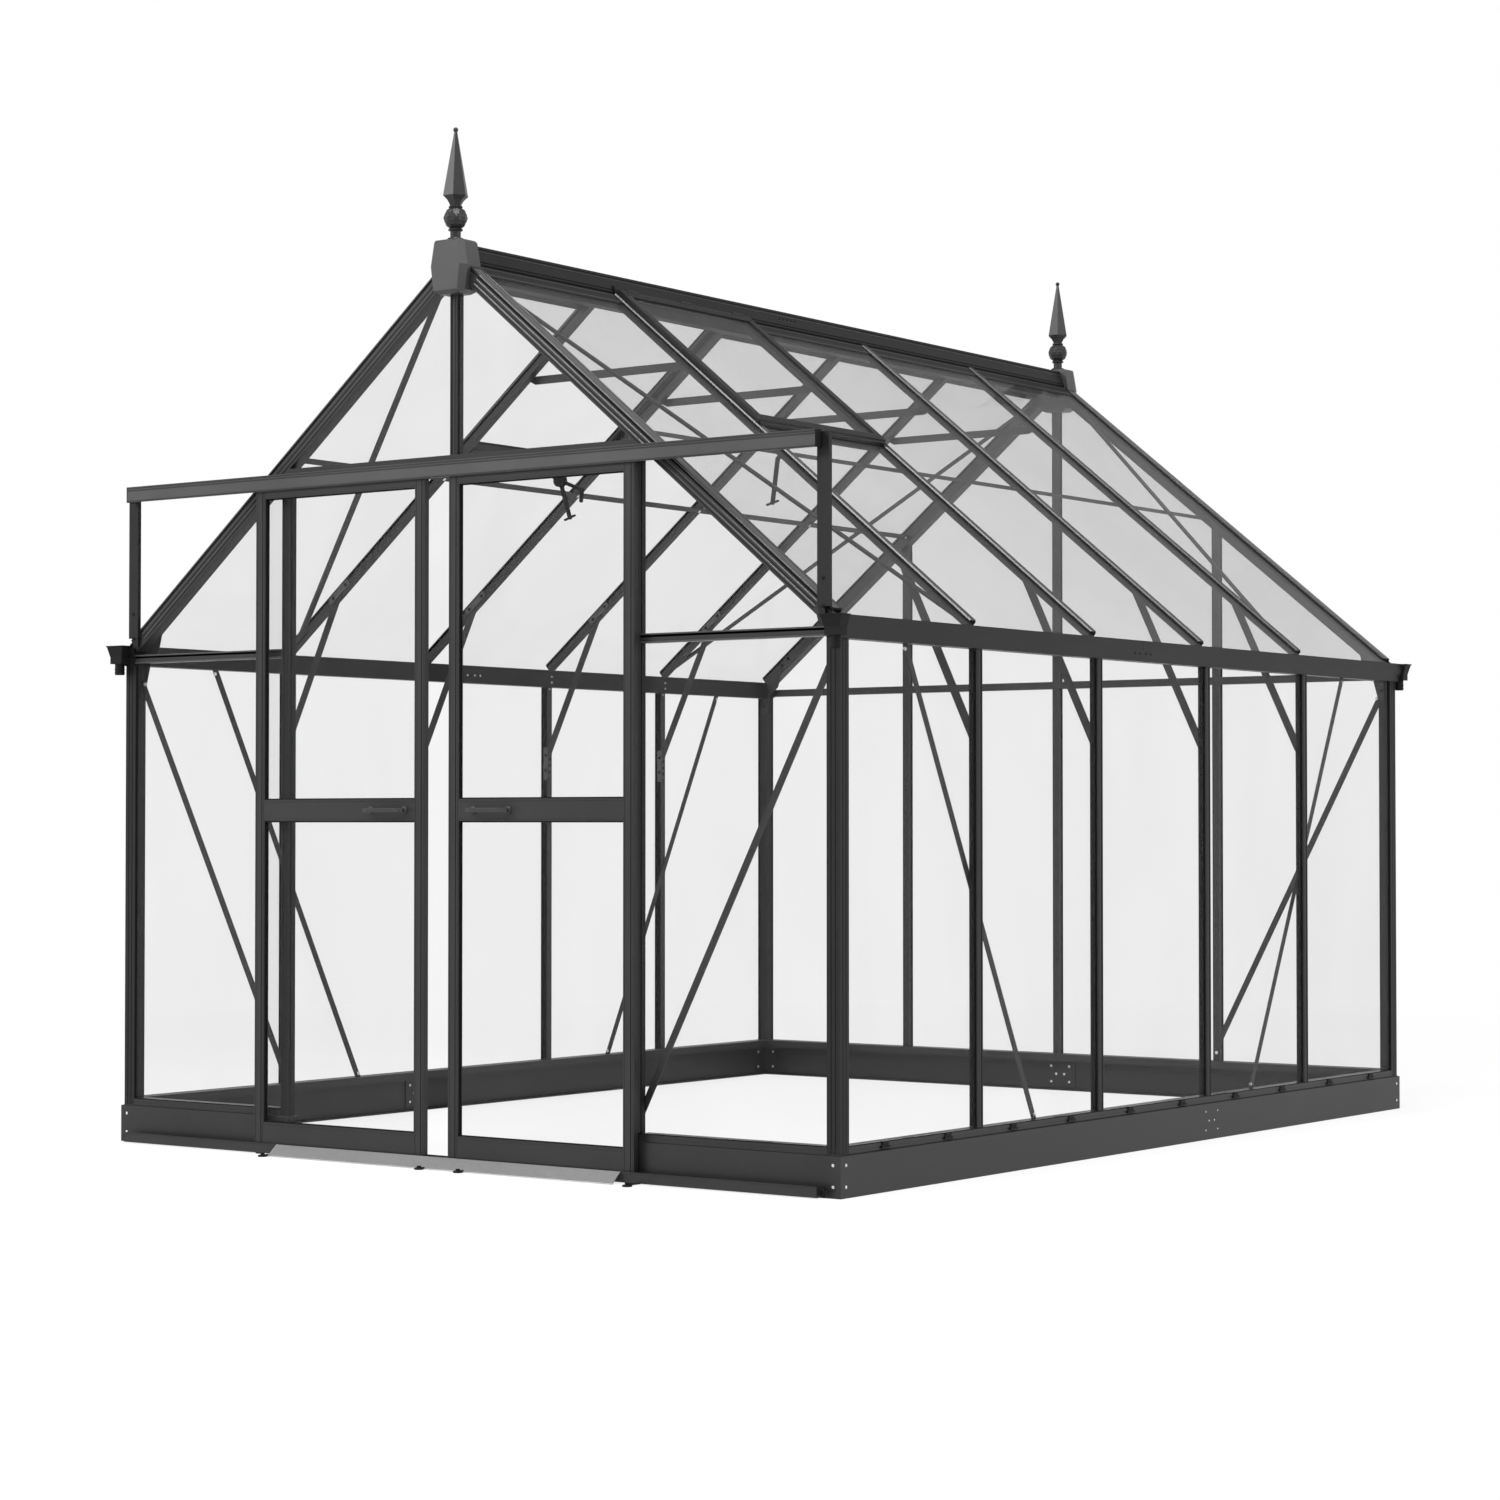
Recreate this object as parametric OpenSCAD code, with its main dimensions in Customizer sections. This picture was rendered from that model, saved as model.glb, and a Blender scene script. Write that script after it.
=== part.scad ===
// Glass greenhouse: aluminium glazing bars on a steel plinth, glazed all round, with
// gutters, two roof vents, cast ridge ends with finials, and a pair of sliding doors.
// Millimetres, Z up, doors towards -Y. The origin is on the ground, under the middle
// of the whole outline. Roof pieces are drawn in a slope frame: X down the slope from
// the apex line, Y along the ridge, Z out of the roof.

/* [Plan and height] */
// Outside width of the plinth, left to right
base_w = 2552; // [2100:1:3200]
// Outside length of the plinth, front to rear
base_l = 3212; // [2400:1:4500]
// Height of the roof surface above the wall face
eaves_z = 1448; // [1200:1:1800]
// Slope of the roof, in degrees
roof_angle = 39.2; // [34:0.1:44]
// Number of glazed bays along each side wall
side_bays = 5; // [4:1:7]
// Bay that holds the roof vents, counted from the doors
vent_bay = 2; // [2:1:3]

/* [Plinth and sill] */
// Height of the steel plinth
plinth_h = 105; // [70:1:160]
// Thickness of the plinth sheet
plinth_t = 3; // [2:0.5:5]
// How far the plinth's top flange reaches in beyond the posts
flange_lip = 1.3; // [1:0.1:20]
// Width of the plinth's bottom flange
plinth_foot = 30; // [15:1:50]
// Distance from the plinth face in to the wall face
wall_inset = 6.7; // [3:0.1:15]
// Height of the sill bar
sill_h = 22; // [15:1:35]
// Leg length of the brackets inside the plinth corners
bracket_leg = 60; // [40:1:120]
// Length of the splice plates inside the plinth
splice_len = 120; // [80:1:200]

/* [Frame sections] */
// Side of the square corner posts, and width of the gable rafters
post_size = 40; // [36:1:60]
// Face width of the glazing bars
bar_w = 25; // [20:1:40]
// Depth of the wall bars and of the rafters between the gables
bar_depth = 26; // [20:1:34]
// Depth of the gable rafters, square to the roof
rafter_depth = 44; // [30:1:70]
// Thickness of a bar's outer cap
cap_t = 5; // [3:0.5:8]
// Depth of the glazing slot in a bar's side
slot_depth = 6; // [4:0.5:8]
// Face width of the door jambs
jamb_w = 30; // [25:1:45]
// Width and depth of the ornamental grooves along the posts
groove = 2; // [1:0.5:3]
// Height of the eaves-level tie bars
tie_h = 25; // [15:1:40]
// Height of the header over the doors
header_h = 42; // [30:1:70]
// Distance from the wall face in to the rafters' lower ends
rafter_setback = 19.3; // [10:0.1:30]
// Clear height from the ground to the header
door_clear = 1885; // [1700:1:1950]

/* [Glass] */
// Thickness of every pane
glass_t = 4; // [3:0.5:6]
// Gap between a pane and each face of its slot or stop
glass_gap = 0.3; // [0.2:0.1:1]

/* [Gutters and ridge] */
// Height of the gutter and eaves beam
gutter_h = 58; // [45:1:80]
// Reach of the gutter beyond the wall face
gutter_reach = 20.7; // [15:0.1:40]
// Depth of the gutter trough
trough_depth = 30; // [20:1:40]
// Thickness of the gutter walls
gutter_t = 3; // [2:0.5:4]
// Diameter of the outlet spouts
spout_d = 28; // [20:1:40]
// Bore of the outlet spouts
spout_bore = 23; // [14:1:36]
// Distance from the gutter's top down to the spouts' ends
spout_drop = 85; // [75:1:120]
// Length of the outlets, out from the gable face
outlet_reach = 38; // [34:1:60]
// Half width of the ridge beam's body
ridge_half = 20; // [15:1:30]
// Half width over the ridge beam's wings
wing_half = 44.5; // [40:0.5:60]
// Depth of the ridge beam
ridge_h = 92; // [70:1:130]
// Height of the ridge beam's crown above the apex line
ridge_rise = 17; // [12:1:25]
// Half width of the ridge beam's crown
crown_half = 27; // [20:1:35]
// Widest width and height of the ridge end castings
casting = [122, 147];
// Distance between the gable rafters' upper ends, inside the castings
casting_seat = 100; // [80:1:110]
// Height of the castings above the apex line
casting_rise = 26; // [10:1:40]
// Reach of the castings in front of the gable
casting_lead = 30; // [15:1:45]
// Height of the finials above the castings
finial_h = 310; // [200:1:450]
// Distance from the castings' front faces back to the finials' axis
finial_back = 43; // [30:1:50]

/* [Bracing] */
// Width of the wall brace strips
brace_w = 20; // [12:1:30]
// Width and thickness of the roof braces
roof_brace = [18, 7];
// Thickness of all strips and plates
strip_t = 2.5; // [2:0.5:4]
// Width of the knee braces and collar ties
knee_w = 24; // [18:1:40]
// Width of the flat purlins
purlin_w = 20; // [14:1:30]
// Reach of the knee braces in from the wall face, and down from the eaves
knee_reach = [252, 295];
// Half length of the collar ties
collar_half = 290; // [220:1:340]

/* [Roof vents] */
// Slope distance from the apex line to the vent's lower edge
vent_end = 704; // [500:1:800]
// Width of the vent frame's rails
vent_rail = 28; // [20:1:40]
// Thickness of the vent frame
vent_t = 14; // [10:1:20]

/* [Doors] */
// How far a closed leaf laps over its jamb
door_lap = 28.3; // [15:0.1:30]
// Thickness of a door leaf
door_t = 17; // [14:1:22]
// Width of the door stiles
stile_w = 36; // [28:1:50]
// Height of the doors' lower edge above the ground
door_z = 20; // [18:1:30]
// Height of the bottom rail, the middle rail and the top rail
rail_h = [69, 60, 38];
// Height of the middle rail's centre
mid_rail_z = 964; // [800:1:1100]
// How far the left leaf stands open at rest
left_open = 70; // [0:1:500]
// How far the right leaf stands open at rest
right_open = 11; // [0:1:500]
// Gap between the two leaves when both are closed
leaf_gap = 6; // [5:1:12]
// Gap between moving and fixed pieces
run_gap = 5.2; // [5:0.1:10]
// Diameter of the door rollers
roller_d = 16; // [12:1:18]
// Length of the door handles
handle_len = 146; // [100:1:200]
// Reach of the door handles in front of the leaf
handle_reach = 30; // [20:1:50]

/* [Tracks and ramp] */
// Height of the top track's front face
track_h = 45; // [35:1:60]
// Thickness of the track walls
track_t = 2.5; // [2:0.5:4]
// Distance from the wall face in to the top track's ends
track_inset = 45.3; // [40:0.1:80]
// Height of the top track's upper face above the doorway
track_rise = 23; // [18:1:40]
// Height of the top track above the leaves' upper edge
track_cover = 28; // [24:1:40]
// Height of the bottom track's upper and lower edges
bottom_track_z = [3, 31];
// Width and depth of the posts that carry the top track
track_post = [37, 12];
// Run of the ramp in front of the bottom track
ramp_run = 38.5; // [25:0.5:80]
// Thickness of the ramp sheet
ramp_t = 2; // [1.5:0.5:4]

/* [Hidden] */
$fn = 48;

frame_colour = [0.16, 0.17, 0.18];
black = [0.03, 0.03, 0.03];
glass_colour = [0.8, 0.85, 0.85, 0.4];
bare_metal = [0.6, 0.6, 0.6];

// Plan
half_w = base_w / 2;
half_l = base_l / 2;
plinth_flange = wall_inset + post_size + flange_lip;
wall_x = half_w - wall_inset;
wall_y = half_l - wall_inset;
post_x = wall_x - post_size / 2;
post_y = wall_y - post_size / 2;
side_pitch = 2 * post_y / side_bays;
gable_pitch = post_x / 2;
side_bar_ys = [for (i = [1 : side_bays - 1]) -post_y + i * side_pitch];
sill_top = plinth_h + sill_h;

// Roof
apex_z = eaves_z + wall_x * tan(roof_angle);
rafter_end_x = wall_x - rafter_setback;
slope_len = rafter_end_x / cos(roof_angle);
function roof_z(x) = apex_z - abs(x) * tan(roof_angle);
function under_z(x) = roof_z(x) - rafter_depth / cos(roof_angle);
function bar_under_z(x) = roof_z(x) - bar_depth / cos(roof_angle);
function under_x(z) = (apex_z - rafter_depth / cos(roof_angle) - z) / tan(roof_angle);
function rafter_end_z(x) = roof_z(rafter_end_x) - (rafter_end_x - x) / tan(roof_angle);

casting_top = apex_z + casting_rise;
casting_bottom = casting_top - casting[1];
casting_front = half_l + casting_lead;
casting_back = wall_y - post_size;
casting_waist = 45;
casting_half = [casting[0] / 2 - 12, casting[0] / 2, casting[0] / 2 - 9];
casting_crown = [8, 7];
casting_foot = [18, 9];

// Eaves
gutter_top = eaves_z - 1;
gutter_bottom = gutter_top - gutter_h;
gutter_in = rafter_end_x - bar_depth * sin(roof_angle);
gutter_out = wall_x + gutter_reach;
trough_floor = gutter_top - trough_depth;
tie_top = trough_floor + gutter_t;
spout_z = gutter_top - spout_drop;

// Doors and tracks, measured out from the front wall face
jamb_in = gable_pitch - jamb_w / 2;
header_top = door_clear + header_h;
post_face = wall_y + track_post[1];
door_back = post_face + run_gap;
door_front = door_back + door_t;
lip_in = door_front + run_gap;
track_front = lip_in + track_t;
track_half = wall_x - track_inset;
track_top = door_clear + track_rise;
door_w = jamb_in + door_lap - leaf_gap / 2;
door_top = track_top - track_cover;
rail_z = [door_z, mid_rail_z - rail_h[1] / 2, door_top - rail_h[2]];
left_x = -leaf_gap / 2 - door_w - left_open;
right_x = leaf_gap / 2 + right_open;
track_roof = 3;
web_h = 40;
ledge_w = 8;
ledge_t = 3;
post_gap = glass_gap;
track_post_x = track_half - 15 + post_gap;
ledge_z = door_top + 1;
roller_z = ledge_z + glass_gap + roller_d / 2;
roller_t = 5;
roller_back = door_front - wall_y - track_t - 2;
axle_d = 5;
hanger_in = 70;
left_handle_x = door_w - stile_w - handle_len - 25;
right_handle_x = stile_w + 40;

channel_floor = 3;
foot_xs = [for (x = [left_x, right_x]) for (side = [0, 1]) x + stile_w / 2 + side * (door_w - stile_w)];

// Vents, in the slope frame
vent_y = [side_bar_ys[vent_bay - 2] + 1.5, side_bar_ys[vent_bay - 1] - 1.5];
vent_top = wing_half / cos(roof_angle) + 4;
vent_sill_depth = 28;
vent_seat = 28;
pane_hold = 8;

// Outer face of the panes, in from the wall or roof face
pane_in = cap_t + glass_gap;

// The ramp reaches furthest forward, the gutter outlets furthest back
shift_y = (track_front + ramp_run - half_l - outlet_reach) / 2;

// ---- placing ----
module house() {
    translate([0, shift_y, 0]) children();
}
module both_sides() {
    children();
    mirror([1, 0, 0]) children();
}
module both_ends() {
    children();
    mirror([0, 1, 0]) children();
}
module on_slope() {
    translate([0, 0, apex_z]) rotate([0, roof_angle, 0]) children();
}
// Runs a section along X from x0 to x1: the section's X is Y, its Y is Z
module along_x(x0, x1) {
    translate([x0, 0, 0]) rotate([90, 0, 90]) linear_extrude(x1 - x0) children();
}
// Runs a section along Y from y0 to y1: the section's X is X, its Y is Z
module along_y(y0, y1) {
    translate([0, y1, 0]) rotate([90, 0, 0]) linear_extrude(y1 - y0) children();
}
// A plate in the XZ plane, from y to y + t
module plate(y, t, points) {
    along_y(y, y + t) polygon(points);
}
// A flat strip between two points of the XZ plane, with ends cut level
module level_strip(y, t, w, a, b) {
    half = w / 2 * norm(b - a) / abs(b[1] - a[1]);
    plate(y, t, [a - [half, 0], a + [half, 0], b + [half, 0], b - [half, 0]]);
}
// A flat strip between two points of the XZ plane, with ends cut upright
module upright_strip(y, t, w, a, b) {
    half = w / 2 * norm(b - a) / abs(b[0] - a[0]);
    plate(y, t, [a - [0, half], a + [0, half], b + [0, half], b - [0, half]]);
}

// ---- sections ----
// Glazing bar: outer face on Y = 0, depth towards -Y, a glazing slot on each side
module bar_section(w, depth) {
    slot = glass_t + 2 * glass_gap;
    difference() {
        translate([-w / 2, -depth]) square([w, depth]);
        for (side = [-1, 1])
            translate([side * (w / 2 - slot_depth / 2), -cap_t - slot / 2])
                square([slot_depth, slot], center = true);
        for (side = [-1, 1])
            translate([side * w / 5, 0]) square([groove / 2, groove], center = true);
    }
}
// Corner post: outer faces on X = 0 and Y = 0, slots on the two inner sides
module post_section() {
    slot = glass_t + 2 * glass_gap;
    difference() {
        translate([-post_size, -post_size]) square(post_size);
        translate([-post_size, -cap_t - slot]) square([slot_depth, slot]);
        translate([-cap_t - slot, -post_size]) square([slot, slot_depth]);
        for (k = [1, 2]) {
            translate([-k * post_size / 3, 0]) square([groove, groove], center = true);
            translate([0, -k * post_size / 3]) square([groove, groove], center = true);
        }
        translate([-post_size / 2, -post_size / 2]) square(post_size - 6 * cap_t, center = true);
    }
}
// Plinth: outer face on X = 0, flanges towards -X
module plinth_section() {
    polygon([
        [0, 0], [0, plinth_h], [-plinth_flange, plinth_h],
        [-plinth_flange, plinth_h - plinth_t], [-plinth_t, plinth_h - plinth_t],
        [-plinth_t, plinth_t], [-plinth_foot, plinth_t], [-plinth_foot, 0]
    ]);
}
// Sill: outer face on X = 0, with a drip groove
module sill_section() {
    difference() {
        translate([-post_size, plinth_h]) square([post_size, sill_h]);
        translate([0, plinth_h + sill_h / 2]) square(groove, center = true);
        translate([-post_size + cap_t, plinth_h + cap_t])
            square([post_size - 2 * cap_t, sill_h - 2 * cap_t]);
    }
}

// ---- plinth and sills ----
module mitred(half_len) {
    intersection() {
        along_y(-half_len, half_len) plinth_section();
        linear_extrude(plinth_h) polygon([
            [0, -half_len], [0, half_len],
            [-plinth_flange, half_len - plinth_flange],
            [-plinth_flange, -half_len + plinth_flange]
        ]);
    }
}
module side_plinths() {
    color(frame_colour) house() both_sides() translate([half_w, 0, 0]) mitred(half_l);
}
module end_plinths() {
    color(frame_colour) house() {
        rotate([0, 0, 90]) translate([half_l, 0, 0]) mitred(half_w);
        difference() {
            rotate([0, 0, -90]) translate([half_l, 0, 0]) mitred(half_w);
            translate([-jamb_in, -half_l - 1, -1])
                cube([2 * jamb_in, plinth_flange + 2, plinth_h + 2]);
        }
    }
}
module plinth_corner_brackets() {
    inner = [half_w - plinth_t, half_l - plinth_t];
    z0 = plinth_t + 5;
    color(frame_colour) house() both_sides() both_ends()
        translate([0, 0, z0]) linear_extrude(plinth_h - 2 * z0) polygon([
            inner, inner - [bracket_leg, 0], inner - [bracket_leg, plinth_t],
            inner - [plinth_t, plinth_t], inner - [plinth_t, bracket_leg],
            inner - [0, bracket_leg]
        ]);
}
module plinth_splice_plates() {
    z0 = plinth_t + 5;
    size = [plinth_t, splice_len, plinth_h - 2 * z0];
    color(frame_colour) house() {
        translate([half_w - 2 * plinth_t, side_pitch / 2 - splice_len / 2, z0]) cube(size);
        translate([-half_w + plinth_t, -side_pitch / 2 - splice_len / 2, z0]) cube(size);
        translate([-splice_len / 2, half_l - 2 * plinth_t, z0]) cube([size[1], size[0], size[2]]);
    }
}
module side_sills() {
    reach = wall_y - post_size;
    color(frame_colour) house() both_sides() translate([wall_x, 0, 0])
        along_y(-reach, reach) sill_section();
}
module end_sills() {
    reach = wall_x - post_size;
    color(frame_colour) house() {
        translate([0, wall_y, 0]) along_x(-reach, reach) sill_section();
        both_sides() mirror([0, 1, 0]) translate([0, wall_y, 0])
            along_x(jamb_in + jamb_w, reach) sill_section();
    }
}

// ---- walls ----
module corner_posts() {
    color(frame_colour) house() both_sides() both_ends()
        translate([wall_x, wall_y, plinth_h])
            linear_extrude(gutter_bottom - plinth_h) post_section();
}
module side_wall_bars() {
    color(frame_colour) house() both_sides() for (y = side_bar_ys)
        translate([wall_x, y, sill_top]) rotate([0, 0, -90])
            linear_extrude(gutter_bottom - sill_top) bar_section(bar_w, bar_depth);
}
module rear_wall_bars() {
    color(frame_colour) house() for (i = [-1 : 1]) difference() {
        translate([i * gable_pitch, wall_y, sill_top])
            linear_extrude((i == 0 ? casting_bottom : apex_z) - sill_top)
                bar_section(bar_w, bar_depth);
        both_sides() above_rafter();
    }
}
// Everything above the underside of the right rafters
module above_rafter() {
    on_slope() translate([-ridge_half, -half_l, -rafter_depth])
        cube([slope_len + 2 * rafter_depth, 2 * half_l, apex_z]);
}
module door_jambs() {
    color(frame_colour) house() both_sides()
        translate([gable_pitch, -wall_y, plinth_h]) rotate([0, 0, 180])
            linear_extrude(door_clear - plinth_h) bar_section(jamb_w, bar_depth);
}
module door_header() {
    color(frame_colour) house() plate(-wall_y, bar_depth, [
        [-under_x(door_clear), door_clear], [under_x(door_clear), door_clear],
        [under_x(header_top), header_top], [-under_x(header_top), header_top]
    ]);
}
module gable_centre_bar() {
    color(frame_colour) house() translate([0, -wall_y, header_top]) rotate([0, 0, 180])
        linear_extrude(casting_bottom - header_top) bar_section(bar_w, bar_depth);
}
module eaves_ties() {
    module tie(x0, x1) {
        translate([x0, wall_y - bar_depth, tie_top - tie_h]) cube([x1 - x0, bar_depth, tie_h]);
    }
    color(frame_colour) house() {
        both_sides() mirror([0, 1, 0]) tie(jamb_in + jamb_w, gutter_in);
        both_sides() tie(gable_pitch + bar_w / 2, gutter_in);
        both_sides() tie(bar_w / 2, gable_pitch - bar_w / 2);
    }
}

// ---- eaves ----
module gutter() {
    crease = trough_floor + 3;
    skirt = 14;
    along_y(-half_l, half_l) difference() {
        polygon([
            [gutter_out, gutter_top], [gutter_out, crease],
            [gutter_out - skirt, gutter_bottom], [gutter_in, gutter_bottom],
            [gutter_in, rafter_end_z(gutter_in)],
            [gutter_in + gutter_t, rafter_end_z(gutter_in + gutter_t)],
            [gutter_in + gutter_t, trough_floor],
            [gutter_out - gutter_t, trough_floor], [gutter_out - gutter_t, gutter_top]
        ]);
        translate([gutter_in + gutter_t, gutter_bottom + gutter_t])
            square([wall_x - gutter_in - gutter_t, trough_floor - gutter_bottom - 2 * gutter_t]);
    }
}
module right_gutter() {
    color(frame_colour) house() gutter();
}
module left_gutter() {
    color(frame_colour) house() mirror([1, 0, 0]) gutter();
}
// Funnel, box and round spout at each gutter end
module outlet() {
    wall = 2.5;
    funnel = [67, outlet_reach, gutter_top - tie_top + 6];
    neck = [46, outlet_reach - 6, 20];
    x0 = gutter_out + 16 - funnel[0];
    z1 = gutter_top - funnel[2];
    spout = [x0 + funnel[0] / 2, half_l + neck[1] / 2];
    module funnel_shape(inset) {
        side = (funnel[0] - neck[0]) / 2;
        intersection() {
            plate(half_l + inset, outlet_reach - 2 * inset, [
                [x0 + side + inset, z1 - 1], [x0 + inset, gutter_top + 1],
                [x0 + funnel[0] - inset, gutter_top + 1],
                [x0 + funnel[0] - side - inset, z1 - 1]
            ]);
            along_x(x0, x0 + funnel[0]) polygon([
                [half_l + inset, z1], [half_l + neck[1] - inset, z1],
                [half_l + outlet_reach - inset, gutter_top],
                [half_l + outlet_reach - inset, gutter_top + inset],
                [half_l + inset, gutter_top + inset]
            ]);
        }
    }
    difference() {
        union() {
            funnel_shape(0);
            translate([spout[0] - neck[0] / 2, half_l, z1 - neck[2]]) cube(neck);
            translate([spout[0], spout[1], spout_z])
                cylinder(d = spout_d, h = z1 - neck[2] + wall - spout_z);
        }
        funnel_shape(wall);
        translate([spout[0] - neck[0] / 2 + wall, half_l + wall, z1 - neck[2] + wall])
            cube([neck[0] - 2 * wall, neck[1] - 2 * wall, neck[2]]);
        translate([spout[0], spout[1], spout_z - 1])
            cylinder(d = spout_bore, h = z1 - spout_z);
        translate([x0 + wall, half_l - 1, trough_floor])
            cube([gutter_out - gutter_t - x0 - wall, wall + 2, 2 * trough_depth]);
    }
}
module gutter_outlets() {
    color(black) house() both_sides() both_ends() outlet();
}

// ---- roof frame ----
module rafter_along(y, w, depth) {
    difference() {
        on_slope() translate([0, y, 0]) along_x(0, slope_len) bar_section(w, depth);
        children();
    }
}
module gable_rafters() {
    color(frame_colour) house() both_sides() both_ends()
        rafter_along(post_y, post_size, rafter_depth)
            casting_room(casting_seat / 2, 0);
}
module rafters() {
    color(frame_colour) house() both_sides() for (y = side_bar_ys)
        rafter_along(y, bar_w, bar_depth)
            translate([-ridge_half, -half_l, 0]) cube([2 * ridge_half, base_l, 2 * apex_z]);
}
module ridge_beam() {
    top = apex_z + ridge_rise;
    wing_t = 4;
    half = [
        [crown_half, top], [wing_half, roof_z(wing_half) + wing_t],
        [wing_half, roof_z(wing_half) + glass_gap],
        [ridge_half, roof_z(ridge_half) + glass_gap], [ridge_half, top - ridge_h]
    ];
    color(frame_colour) house() along_y(-casting_back, casting_back)
        polygon(concat(half, [for (i = [4 : -1 : 0]) [-half[i][0], half[i][1]]]));
}
// Block over both castings, of this half width, with a gap behind it
module casting_room(half, gap) {
    both_ends() translate([-half, casting_back - gap, 0])
        cube([2 * half, casting_front - casting_back + gap, 2 * apex_z]);
}
// Six-sided plate of a casting, from y to y + t: half widths at the top, waist and foot
module casting_plate(y, t, halves) {
    low = casting_bottom + casting_foot[1];
    high = casting_top - casting_crown[1];
    plate(y, t, [
        [-halves[0], high], [halves[0], high], [halves[1], apex_z - casting_waist],
        [halves[2], low], [-halves[2], low], [-halves[1], apex_z - casting_waist]
    ]);
}
module ridge_end_caps() {
    depth = casting_front - casting_back;
    chamfer = [10, 23];
    face_t = 1;
    crown_w = casting_half[0] - casting_crown[0];
    foot_w = casting_half[2] - casting_foot[0];
    color(frame_colour) house() both_ends() difference() {
        hull() {
            casting_plate(casting_front - face_t, face_t, [for (h = casting_half) h - chamfer[0]]);
            casting_plate(casting_back, depth - chamfer[1], casting_half);
            translate([-crown_w, casting_back, casting_top - face_t])
                cube([2 * crown_w, depth - casting_crown[0], face_t]);
            translate([-foot_w, casting_back + casting_foot[1], casting_bottom])
                cube([2 * foot_w, depth - casting_foot[0] - casting_foot[1], face_t]);
        }
        // Seats for the gable rafters' upper ends
        difference() {
            both_sides() on_slope() translate([0, casting_back, -rafter_depth])
                cube([casting[0], post_size, rafter_depth]);
            casting_room(casting_seat / 2, 0);
        }
    }
}
module finials() {
    neck_d = 29;
    ball_d = 65;
    ball_z = 62;
    // Heights and widths of the collar that flares out under the spire
    flare = [[90, neck_d], [100, neck_d + 6], [111, 48], [122, 72]];
    tip_d = 14;
    tip_z = finial_h - tip_d / 2;
    color(frame_colour) house() both_ends()
        translate([0, casting_front - finial_back, casting_top]) {
            cylinder(d = neck_d, h = flare[0][0] + 1, $fn = 24);
            translate([0, 0, ball_z]) sphere(d = ball_d, $fn = 12);
            for (i = [0 : 2]) translate([0, 0, flare[i][0]])
                cylinder(d1 = flare[i][1], d2 = flare[i + 1][1], h = flare[i + 1][0] - flare[i][0],
                         $fn = 6);
            translate([0, 0, flare[3][0]])
                cylinder(d1 = flare[3][1], d2 = tip_d / 2, h = tip_z - flare[3][0], $fn = 6);
            translate([0, 0, tip_z]) sphere(d = tip_d, $fn = 16);
        }
}
module collar_ties() {
    half = collar_half;
    z = bar_under_z(half) + knee_w / 3;
    color(frame_colour) house() for (y = side_bar_ys) plate(y + bar_w / 2, strip_t, [
        [-half, z], [-half + knee_w, z + knee_w / 2], [half - knee_w, z + knee_w / 2],
        [half, z], [half - knee_w, z - knee_w / 2], [-half + knee_w, z - knee_w / 2]
    ]);
}
module purlins() {
    reach = wall_y - post_size;
    color(frame_colour) house() both_sides() on_slope()
        translate([(gable_pitch - purlin_w / 2) / cos(roof_angle), -reach, -bar_depth - strip_t])
            cube([purlin_w, 2 * reach, strip_t]);
}
module knee_braces() {
    top_x = wall_x - knee_reach[0];
    top = [top_x, bar_under_z(top_x) + knee_w / 3];
    foot = [wall_x - bar_depth - knee_w / 12, eaves_z - knee_reach[1]];
    // Behind the right bars; the left set is the same one turned round
    color(frame_colour) house() for (turn = [0, 180]) rotate([0, 0, turn]) for (y = side_bar_ys)
        level_strip(y + bar_w / 2, strip_t, knee_w, foot, top);
}
// Plate behind the gable's eaves corner: down the post and up along the rafter
module corner_gussets() {
    arm = 20;
    drop = 60;
    reach = [52, 70];
    post_in = wall_x - post_size;
    color(frame_colour) house() both_sides() both_ends()
        plate(wall_y - post_size - strip_t, strip_t, [
            [post_in + arm, gutter_bottom - drop], [post_in, gutter_bottom - drop],
            [post_in - arm, tie_top - arm], [post_in - reach[0], tie_top + arm / 2],
            [post_in - reach[1], roof_z(post_in - reach[1]) - 2 * arm],
            [post_in - reach[1], roof_z(post_in - reach[1]) - arm],
            [post_in - arm, roof_z(post_in - arm) - arm], [gutter_in - 1, gutter_top - arm],
            [gutter_in - 1, gutter_bottom - 1], [post_in + arm, gutter_bottom - 1]
        ]);
}

// ---- bracing ----
module side_wall_braces() {
    color(frame_colour) house() both_sides() both_ends()
        translate([wall_x - bar_depth - strip_t, 0, 0]) rotate([0, 0, 90])
            mirror([0, 1, 0]) level_strip(0, strip_t, brace_w,
                [post_y - side_pitch / 2, gutter_bottom], [post_y - 1.5 * side_pitch, sill_top]);
}
module gable_braces() {
    post_side = wall_x - post_size;
    module brace() {
        upright_strip(wall_y - bar_depth - strip_t, strip_t, brace_w,
            [gable_pitch - bar_w / 2 + 2, sill_top + 25], [post_side, gutter_bottom - 50]);
    }
    color(frame_colour) house() {
        brace();
        both_sides() mirror([0, 1, 0]) brace();
    }
}
module roof_braces() {
    y0 = casting_back;
    y1 = side_bar_ys[side_bays - 2] + bar_w / 2;
    lift = 2;
    w = roof_brace[0];
    low = slope_len - 60;
    reach = w / 2 * norm([low, y0 - y1]) / (y0 - y1);
    beside = casting_seat / 2 + 1 + bar_depth * sin(roof_angle);
    a = [beside / cos(roof_angle) + reach, y0];
    b = [low, y1];
    half = w / 2 * norm(b - a) / (y0 - y1);
    color(frame_colour) house() both_sides() both_ends() on_slope()
        translate([0, 0, lift - bar_depth]) linear_extrude(roof_brace[1]) polygon([
            a - [half, 0], b - [half, 0], b + [half, 0], a + [half, 0]
        ]);
}

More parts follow.
